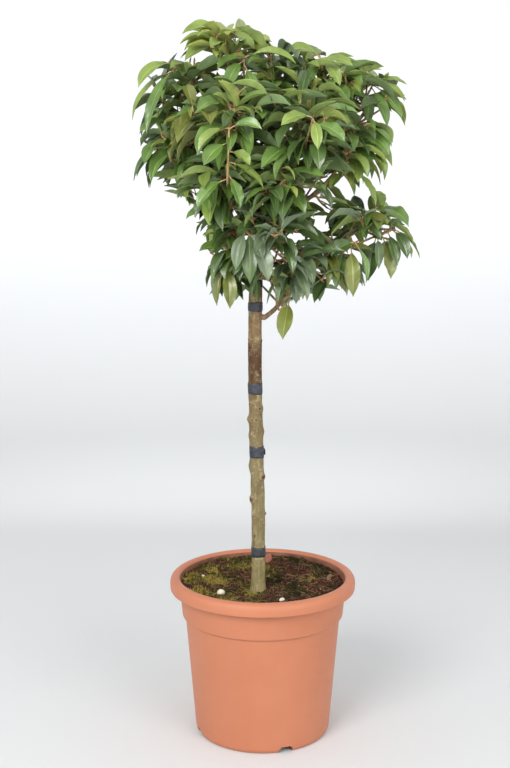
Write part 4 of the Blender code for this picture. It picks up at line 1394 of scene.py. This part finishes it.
def build_moss(rng):
    """Short upright moss blades, in three greens."""
    greens = [Builder() for _ in MOSSES]
    while sum(builder.count for builder in greens) < MOSS_TRIANGLES:
        x, y = on_soil(rng)
        if mossy(x, y) + rng.gauss(0, 0.05) < TUFT_MOSS:
            continue
        shade = bumps(x * 34.0, y * 34.0, 6.0) - 0.6 * x / SOIL_REACH + rng.gauss(0, 0.30)
        builder = greens[0 if shade > 0.45 else 1 if shade > -0.05 else 2]
        foot = Vector((x, y, soil_surface(x, y) - 0.0008))
        for _ in range(MOSS_BLADES):
            root = foot + Vector((rng.gauss(0, 0.0012), rng.gauss(0, 0.0012), 0))
            tall = rng.uniform(0.0016, 0.0050)
            tip = root + Vector((rng.gauss(0, 0.0013), rng.gauss(0, 0.0013), tall))
            wide = rng.uniform(0.00022, 0.00045)
            turn = rng.uniform(0, math.tau)
            ring = [root + level_way(turn + corner * math.tau / 3) * wide for corner in range(3)]
            builder.add(ring + [tip], [(0, 1, 3), (1, 2, 3), (2, 0, 3), (2, 1, 0)], smooth=False)
    for (name, colour), builder in zip(MOSSES, greens):
        dress(builder.make(name, plain_material(name, colour, 0.85)), "soil", "soil")


def lump(builder, place, size, rng, detail=1, flat=0.7, rough=0.35):
    """A rough stone or crumb."""
    bm = bmesh.new()
    bmesh.ops.create_icosphere(bm, subdivisions=detail, radius=1.0)
    seed = Vector((rng.uniform(0, 50), rng.uniform(0, 50), rng.uniform(0, 50)))
    turn = Matrix.Rotation(rng.uniform(0, math.tau), 3, "Z")
    stretch = Vector((rng.uniform(0.75, 1.25), rng.uniform(0.75, 1.1), flat * rng.uniform(0.8, 1.2)))
    points = []
    for vertex in bm.verts:
        away = vertex.co * (1 + rough * noise.noise(vertex.co * 1.3 + seed))
        points.append(place + turn @ Vector([a * b for a, b in zip(away, stretch)]) * size)
    builder.add(points, [tuple(corner.index for corner in face.verts) for face in bm.faces])
    bm.free()


def build_crumbs(rng):
    """Dark crumbs of soil, fewer where moss grows."""
    crumbs = Builder()
    for _ in range(CRUMBS):
        x, y = on_soil(rng)
        if mossy(x, y) > THICK_MOSS and rng.random() < 0.8:
            continue
        size = rng.uniform(0.0008, 0.0024)
        lump(crumbs, Vector((x, y, soil_surface(x, y) + size * 0.3)), size, rng)
    crumb = plain_material("dark_crumbs", (88, 56, 42), 0.95, 0.6)
    dress(crumbs.make("soil_crumbs", crumb), "soil", "soil")


def build_straws(rng):
    """Straws and twig bits that lie bent on the soil, most of them on the right."""
    bits, straws = Builder(), Builder()
    for _ in range(STRAWS):
        x, y = on_soil(rng, STRAW_REACH)
        if rng.random() > 0.60 + 0.4 * x / SOIL_REACH:
            continue
        turn, length = rng.uniform(0, math.tau), rng.uniform(0.004, 0.018)
        way = Vector((math.cos(turn), math.sin(turn), rng.uniform(-0.05, 0.25)))
        start = Vector((x, y, soil_surface(x, y) + 0.0010))
        bend = Vector((rng.gauss(0, 0.0015), rng.gauss(0, 0.0015), 0.0012))
        line = []
        for step in range(STRAW_POINTS):
            part = step / (STRAW_POINTS - 1) - 0.5
            spot = start + way * length * part + bend * (1 - 4 * part * part)
            if math.hypot(spot.x, spot.y) < STRAW_EDGE:
                spot.z = max(spot.z, soil_surface(spot.x, spot.y) + 0.0004)
                line.append(spot)
        if len(line) < 3:
            continue
        thick = rng.uniform(0.00018, 0.00038)
        radii = [thick] * (len(line) - 1) + [thick * 0.5]
        tube_into(straws if rng.random() < 0.6 else bits, line, radii, 5)
    straw = plain_material("pale_straw", (152, 122, 80), 0.8)
    dress(straws.make("soil_straws", straw), "soil", "soil")
    bit = plain_material("brown_bits", (112, 80, 54), 0.85)
    dress(bits.make("soil_twig_bits", bit), "soil", "soil")


def build_stones(rng):
    """White pebbles, a terracotta flake and a flake of bark, each in its own place."""
    stones, chips = Builder(), Builder()
    for x, y, size in PEBBLES:
        lump(stones, Vector((x, y, soil_surface(x, y) + size * 0.45)), size, rng, 3, 0.72, 0.22)
    stone = plain_material("white_pebble", (232, 224, 204), 0.6)
    dress(stones.make("soil_pebbles", stone), "soil", "soil")
    for number, (x, y, size, rise) in enumerate(CHIPS):
        chip_into(chips, Vector((x, y, soil_surface(x, y) - 0.001)), size, rise, rng, number)
    flake = plain_material("terracotta_chip", (176, 112, 92), 0.8, 0.3)
    bark = plain_material("bark_chip", (142, 112, 86), 0.9, 0.3)
    dress(chips.make("soil_chips", flake, bark), "soil", "soil")


def chip_into(builder, foot, size, rise, rng, slot):
    """A thin curled flake that leans out of the soil."""
    lean = Vector((rng.uniform(-0.2, 0.2), 1.0 - rise, rise + 0.2)).normalized()
    side = lean.cross(Vector((0, 1, 0.3))).normalized()
    out = side.cross(lean)
    front = []
    for row in range(CHIP_POINTS):
        up = row / (CHIP_POINTS - 1)
        half = size * (0.75 + 0.25 * math.sin(math.pi * up) - 0.35 * up ** 3)
        for step in range(CHIP_POINTS):
            across = 2 * step / (CHIP_POINTS - 1) - 1
            dent = 0.12 * bumps(across * 2 + foot.x * 90, up * 2, 3.0)
            front.append(foot + lean * (2.4 * size * up) + side * (half * (across + dent)) +
                         out * size * (0.35 * across * across + dent))
    faces, rim = sheet_faces(CHIP_POINTS, CHIP_POINTS)
    back = [behind(face, len(front)) for face in faces]
    builder.add(front + [point + out * 0.0007 for point in front], faces + back + rim, slot)


# ---------------------------------------------------------------- stem, boughs and ties

def knots_at(height, turn, radius):
    """How far the knots push the bark out here, and whether it is a scar's lip or heart."""
    push, mark = 0.0, 0
    for place, degrees, wide, tall, out, kind in KNOTS:
        around = math.remainder(turn - math.radians(degrees - 90), math.tau) * radius
        far = math.hypot(around / wide, (height - place) / tall)
        if far < 3.0:
            push += out * math.exp(-far * far)
            if kind == "scar":
                push += SCAR_LIP[0] * math.exp(-((far - SCAR_LIP[1]) / SCAR_LIP[2]) ** 2)
                push -= SCAR_HEART[0] * math.exp(-(far / SCAR_HEART[1]) ** 2)
                if far < SCAR_EDGES[1]:
                    mark = 1 if far > SCAR_EDGES[0] else 2
    return push, mark


def build_trunk():
    """The stem with fine ridges, swellings, pruning scars and a creased union."""
    points, marks = [], []
    low, high = TRUNK_FOOT.z - TRUNK_SUNK, TRUNK_TIP.z
    for ring in range(TRUNK_RINGS + 1):
        height = low + (high - low) * ring / TRUNK_RINGS
        centre = trunk_centre(max(height, TRUNK_FOOT.z))
        centre.z = height
        radius = trunk_radius(max(height, TRUNK_FOOT.z))
        for step in range(TRUNK_SIDES):
            turn = math.tau * step / TRUNK_SIDES
            way = level_way(turn)
            spot = Vector((way.x * 1.4, way.y * 1.4, height * 40.0))
            push, mark = knots_at(height, turn, radius)
            for depth, around, along in BARK_RELIEF:
                push += depth * bumps(way.x * around, way.y * around, height * along)
            crease = (height - CREASE_HEIGHT) / CREASE_TALL
            push -= CREASE_DEPTH * math.exp(-crease * crease) * (0.6 + 0.4 * noise.noise(spot * 2.0))
            lip = (height - CREASE_HEIGHT - 2 * CREASE_TALL) / LIP_TALL
            push += LIP_OUT * math.exp(-lip * lip) * (0.5 + noise.noise(spot * 3.0))
            points.append(centre + way * (radius + push))
            marks.append(mark)
    faces = bands(TRUNK_RINGS + 1, TRUNK_SIDES)
    slots = [max(marks[corner] for corner in face) for face in faces] + [0, 0]
    last = TRUNK_RINGS * TRUNK_SIDES
    faces += [tuple(reversed(range(TRUNK_SIDES))), tuple(range(last, last + TRUNK_SIDES))]
    mesh = solid_mesh("trunk_bark", points, faces, slots)
    scar = wood_material("pruning_scar", (112, 92, 64), (158, 136, 100))
    heart = wood_material("scar_heart", (66, 50, 36), (98, 78, 58))
    dress(new_object("trunk_bark", mesh, bark_material(), scar, heart), "bark", "trunk")


def band_into(builder, index, height, tall):
    """One band of tape: its creased outside, its inside, and its edges."""
    outer, inner = [], []
    for row in range(TAPE_ROWS + 1):
        part = row / TAPE_ROWS
        for step in range(TAPE_STEPS):
            turn = math.tau * step / TAPE_STEPS
            edge = TAPE_WAVE * math.sin(turn * 2 + index)
            edge += TAPE_RAG * bumps(math.cos(turn) * 3, math.sin(turn) * 3, index * 5.0 + row)
            level = height + tall * (part - 0.5) + edge * (2 * part - 1)
            way = level_way(turn)
            reach = trunk_radius(level) + TAPE_OUT
            reach += TAPE_CREASE * bumps(way.x * 2.0, way.y * 2.0, level * 900.0)
            reach += TAPE_FOLD * abs(bumps(way.x * 6.0, way.y * 6.0, level * 500.0))
            reach += TAPE_LAP if 0.9 < turn < 2.4 + 0.3 * part else 0.0
            reach -= TAPE_LAP if row in (0, TAPE_ROWS) else 0.0
            outer.append(trunk_centre(level) + way * reach)
            inner.append(trunk_centre(level) + way * (trunk_radius(level) - TAPE_SUNK))
    shift, last = len(outer), len(outer) - TAPE_STEPS
    faces = bands(TAPE_ROWS + 1, TAPE_STEPS)
    faces += [behind(face, shift) for face in faces]
    for step in range(TAPE_STEPS):
        after = (step + 1) % TAPE_STEPS
        faces.append((after, step, shift + step, shift + after))
        faces.append((last + step, last + after, shift + last + after, shift + last + step))
    builder.add(outer + inner, faces)


def build_ties():
    """Dark tape wound round the stem, creased, with one loose end."""
    tape = tape_material()
    for index, (height, tall) in enumerate(TIES, 1):
        name = "tie_band_%d" % index
        builder = Builder()
        band_into(builder, index, height, tall)
        if index == LOOSE_TIE:
            loose_end(builder, height, tall)
        dress(builder.make(name + "_tape", tape), "tie_tape", name)


def loose_end(builder, height, tall):
    """A short tongue of tape that stands off the band at its right."""
    start = trunk_centre(height) + Vector((trunk_radius(height) + 0.0004, -0.0006, 0.0))
    points = []
    for step in range(LOOSE_STEPS + 1):
        part = step / LOOSE_STEPS
        place = start + Vector((0.0034 * part - 0.0010 * part * part, 0.002 * math.sin(part * 2.5),
                                -0.0020 * part * part))
        half = tall * (0.32 - 0.12 * part)
        for side, lift in ((-1, -0.5), (-1, 0.5), (1, -0.5), (1, 0.5)):
            points.append(place + Vector((0, lift * 0.0007, side * half)))
    last = 4 * LOOSE_STEPS
    faces = [(0, 2, 3, 1), (last, last + 1, last + 3, last + 2)]
    for a in range(0, last, 4):
        faces += [(a, a + 4, a + 6, a + 2), (a + 1, a + 3, a + 7, a + 5),
                  (a, a + 1, a + 5, a + 4), (a + 2, a + 6, a + 7, a + 3)]
    builder.add(points, faces)


def build_boughs(masses):
    """Each bough with its collar at the stem, tapering on into its mass."""
    builder = Builder()
    last = BOUGH_RINGS - 1
    reach = [BOUGH_RADIUS * (1.0 + 0.75 * math.exp(-step / 2.2)) * (1 - step / last) +
             BOUGH_TIP_RADIUS * 1.02 * step / last for step in range(BOUGH_RINGS)]
    for mass in masses:
        points, _ = bough_line(mass)
        inward = (trunk_centre(points[0].z) - points[0]) * 0.6
        line = smooth_line([points[0] + inward] + points, BOUGH_RINGS)

        def rough(ring, turn, seed=mass.index * 7.0):
            return (1.0 + 0.10 * bumps(math.cos(turn) * 2 + seed, math.sin(turn) * 2, ring * 0.6) +
                    (0.06 if ring % 6 == 3 else 0.0))
        tube_into(builder, line, reach, 14, rough)
    bough = wood_material("bough_bark", (96, 74, 54), (150, 124, 92))
    dress(builder.make("bough_bark", bough), "bough_bark", *["bough_" + mass.name for mass in masses])


# ---------------------------------------------------------------- the head

def real_leaf(leaf):
    """The real leaf in the place of the solids' plain one."""
    leaf.length *= REAL_LENGTH
    leaf.width *= REAL_WIDTH
    return leaf


def tip_leaves(end, way, rng):
    """Young leaves round a shoot's tip: short, narrow and upright."""
    made = []
    phase = rng.uniform(0, math.tau)
    for number in range(rng.choice((2, 3, 3))):
        swing = phase + number * GOLDEN
        leaf = sprout(rng, end, (way + UP * 0.3).normalized(), swing, 1.0, rng.uniform(0.30, 0.55))
        leaf.width *= REAL_WIDTH * 0.8
        leaf.young = True
        made.append(leaf)
    return made


def tone_of(place, rng):
    """The colour group of one spray, by where it stands in the head: fresher outwards and to the right,
    and lighter upwards as painted light from above.
    """
    out = place - HEAD_MIDDLE
    if rng.random() < (GREY_LOW[1] if place.z < GREY_LOW[0] else GREY_HIGH):
        return OLIVE if rng.random() < OLIVE_PART else GREY
    reach = Vector((out.x, out.y * FRONT_SHARE, out.z)).length
    # The two height terms paint light from above: higher sprays take lighter tones.
    fresh = reach / 0.15 + 0.45 * out.z / 0.14 + 0.60 * out.x / 0.20 - 0.66 + rng.gauss(0, 0.5)
    fresh += TOP_PAINTED_LIGHT * max(0.0, out.z - 0.05)
    return sum(fresh > least for least in TONE_STEPS)


def leafy_part(line, leaves, others):
    """A shoot cut off just past its last leaf or side shoot, or nothing where it has none."""
    base, end = line[0], line[-1]
    length = (end - base).length
    along = (end - base) / length
    last = 0.0
    for point in [leaf.root for leaf in leaves] + [other[0] for other, _ in others]:
        reach = (point - base).dot(along)
        if 0 < reach < length * 1.05 and (point - base - along * reach).length < 0.15 * length:
            last = max(last, reach)
    return base.lerp(end, min(1.0, last / length + 0.04)) if last else None


def shoot_wood(builder, line, thick, thin, rng):
    """One shoot's wood: slightly bent, and a little swollen where leaves leave it."""
    way = (line[-1] - line[0]).normalized()
    bow = way.orthogonal().normalized() * rng.uniform(-0.002, 0.002)
    last = 10
    points = smooth_line(line, last + 1)
    points = [point + bow * math.sin(math.pi * step / last) for step, point in enumerate(points)]
    radii = [thick + (thin - thick) * step / last + (0.00025 if step % 3 == 1 else 0)
             for step in range(last + 1)]
    tube_into(builder, points, radii, 8)


def grow_masses():
    """The masses with their limbs and with the leaves that have room, the placed ones first."""
    masses = [Mass(index, row) for index, row in enumerate(MASSES)]
    for mass in masses:
        lay_limb(mass, masses)
    heights = [TRUNK_FOOT.z + (TRUNK_TIP.z - TRUNK_FOOT.z) * step / 20 for step in range(21)]
    stem = ([trunk_centre(height) for height in heights], [trunk_radius(height) for height in heights])
    limbs = limb_tree([stem] + [bough_line(mass) for mass in masses], LIMB_GAP)
    crowd = Crowd()
    for mass in masses:
        mass.lines, mass.leaves = grow(mass, masses, limbs)
        mass.placed = placed_sprays(mass)
        for _, leaves in mass.placed:
            for leaf in leaves:
                crowd.add(leaf)
    for mass in masses:
        mass.leaves = [leaf for leaf in map(real_leaf, mass.leaves)
                       if inside_edge(leaf.spine(1.0)[0], EDGE_SPARE) and
                       not against_sky(leaf) and crowd.clear(leaf)]
    for mass in masses:
        for leaf in mass.leaves:
            crowd.add(leaf)
    return masses, limbs, crowd


def mass_wood(mass, fine, twigs, buds, rng):
    """The wood of one mass: its placed shoots, stem, twigs and fine shoots. Gives the twigs kept."""
    for line, leaves in mass.placed:
        shoot_wood(twigs, line, *SHOOT_RADII, rng)
        bud_into(buds, line[-1], (line[-1] - line[-2]).normalized(), rng)
        mass.leaves += leaves
    stem, own = mass.lines[0], mass.lines[1:]
    shoot_wood(twigs, stem[0], *(STEM_RADIUS * share for share in WOOD_TAPER), rng)
    kept = []
    for twig, (line, (thick, thin)) in enumerate(own):
        end = leafy_part(line, mass.leaves, fine)
        if end:
            shoot_wood(twigs, [line[0], end], thick, thin, rng)
            kept.append(([line[0], end], twig))
    for line, _ in fine:
        shoot_wood(twigs, line, *SHOOT_RADII, rng)
    return kept


def tip_growth(mass, masses, lines, buds, crowd, rng):
    """A bud at each shoot's tip, and the young leaves round it that have room."""
    for line, twig in lines:
        end, way = line[-1], (line[-1] - line[-2]).normalized()
        bud_into(buds, end, way, rng)
        for leaf in tip_leaves(end, way, rng):
            if (within_head(leaf.spine(1.0)[0], masses, FINE_REACH) and
                    not against_sky(leaf) and crowd.clear(leaf)):
                leaf.twig = twig
                mass.leaves.append(leaf)
                crowd.add(leaf)


def leaf_tone(leaf, tones, rng):
    """A leaf's colour group: its own, or one near its spray's."""
    if leaf.tone is not None:
        return leaf.tone
    tone = tones[leaf.twig]
    if tone < GREY:
        tone += rng.choice((0, 1, 2)) if leaf.young else rng.choice((-1, 0, 0, 0, 1))
        tone = max(0, min(GREY - 1, tone))
    return tone


def build_head():
    """Boughs, shoots, buds and leaves, with the leaves joined by colour group."""
    masses, limbs, crowd = grow_masses()
    build_boughs(masses)
    rng = random.Random(SEED)
    sprays = [[] for _ in LEAF_TONES]
    stalks, twigs, buds = Builder(), Builder(), Builder()
    for mass in masses:
        own = mass.lines[1:]
        fine = fine_shoots(mass, masses, limbs, own, rng)
        grown, fine = fine_leaves(mass, masses, limbs, crowd, fine, rng)
        mass.leaves += grown
        kept = mass_wood(mass, fine, twigs, buds, rng)
        tones = [tone_of(line[-1], rng) for line, _ in own]
        tip_growth(mass, masses, kept + fine, buds, crowd, rng)
        for leaf in mass.leaves:
            piles = sprays[leaf_tone(leaf, tones, rng)]
            if not piles or piles[-1].count > PIECE_MOST:
                piles.append(Builder())
            blade_into(piles[-1], stalks, leaf, rng)
    nodes = ["foliage_" + mass.name for mass in masses]
    for (name, face, back, rib), piles in zip(LEAF_TONES, sprays):
        made = [leaf_material("leaf_" + name, face),
                leaf_material("leaf_under_" + name, back, 0.55, 0.35),
                leaf_material("leaf_rib_" + name, rib, 0.45),
                leaf_material("leaf_under_rib_" + name, rib, 0.6, 0.3)]
        for number, pile in enumerate(piles, 1):
            blade = pile.make("leaves_%s_%d" % (name, number), *made)
            blade.data.set_sharp_from_angle(angle=math.radians(RIM_ANGLE))
            dress(blade, "foliage", *nodes)
    stalk = wood_material("leaf_stalk", (170, 132, 92), (200, 170, 122), 0.55)
    dress(stalks.make("leaf_stalks", stalk), "foliage", *nodes)
    shoot = wood_material("shoot_bark", (140, 116, 74), (188, 160, 110))
    dress(twigs.make("shoots", shoot), "foliage", *nodes)
    scales = wood_material("bud_scales", (122, 70, 48), (160, 104, 72), 0.5)
    dress(buds.make("buds", scales), "foliage", *nodes)


# ---------------------------------------------------------------- stage, camera and lights

def build_stage():
    """A pale seamless floor that curves up into a round wall."""
    profile = [(0.0, 0.0), (FLOOR_REACH, 0.0)]
    bend = WALL_REACH - FLOOR_REACH
    for step in range(1, 13):
        turn = math.radians(90) * step / 12
        profile.append((FLOOR_REACH + bend * math.sin(turn), bend * (1 - math.cos(turn))))
    profile.append((WALL_REACH, WALL_TOP))
    paper = Nodes("studio_paper", 0.9, 0.1)
    height = paper.node("ShaderNodeSeparateXYZ", {"Vector": paper.place()}, "Z")
    paper.set("Base Color", paper.ramp(height, (0.0, (0.71, 0.72, 0.72, 1)),
                                       (0.6, (0.90, 0.91, 0.93, 1))))
    new_object("studio", turned_mesh("studio", profile, 96), paper.material)


def build_lights():
    """Even light all round, and three square lamps that the camera doesn't see."""
    world = bpy.data.worlds.new("studio_light")
    scene.world = world
    world.use_nodes = True
    background = world.node_tree.nodes["Background"]
    background.inputs["Color"].default_value = (1.0, 1.0, 1.0, 1.0)
    background.inputs["Strength"].default_value = WORLD_LIGHT
    for name, place, target, size, power in LIGHTS:
        data = bpy.data.lights.new(name, "AREA")
        data.shape = "SQUARE"
        data.size = size
        data.energy = power
        lamp = bpy.data.objects.new(name, data)
        scene.collection.objects.link(lamp)
        lamp.location = place
        aim = Vector(target) - Vector(place)
        lamp.rotation_euler = aim.to_track_quat("-Z", "Y").to_euler()
        lamp.visible_camera = False


def build_camera():
    """The camera where the photograph was taken from, as read from the measuring staff."""
    data = bpy.data.cameras.new("camera")
    data.sensor_width = SENSOR
    data.lens = LENS
    camera = bpy.data.objects.new("camera", data)
    scene.collection.objects.link(camera)
    camera.location = CAMERA_PLACE
    camera.rotation_euler = (math.radians(CAMERA_TILT), 0.0, 0.0)
    scene.camera = camera


def main():
    scene.view_settings.view_transform = "Standard"
    build_camera()
    build_lights()
    build_stage()
    build_pot()
    build_soil()
    rng = random.Random(SEED + 7)
    build_moss(rng)
    build_crumbs(rng)
    build_straws(rng)
    build_stones(rng)
    build_trunk()
    build_ties()
    build_head()


main()
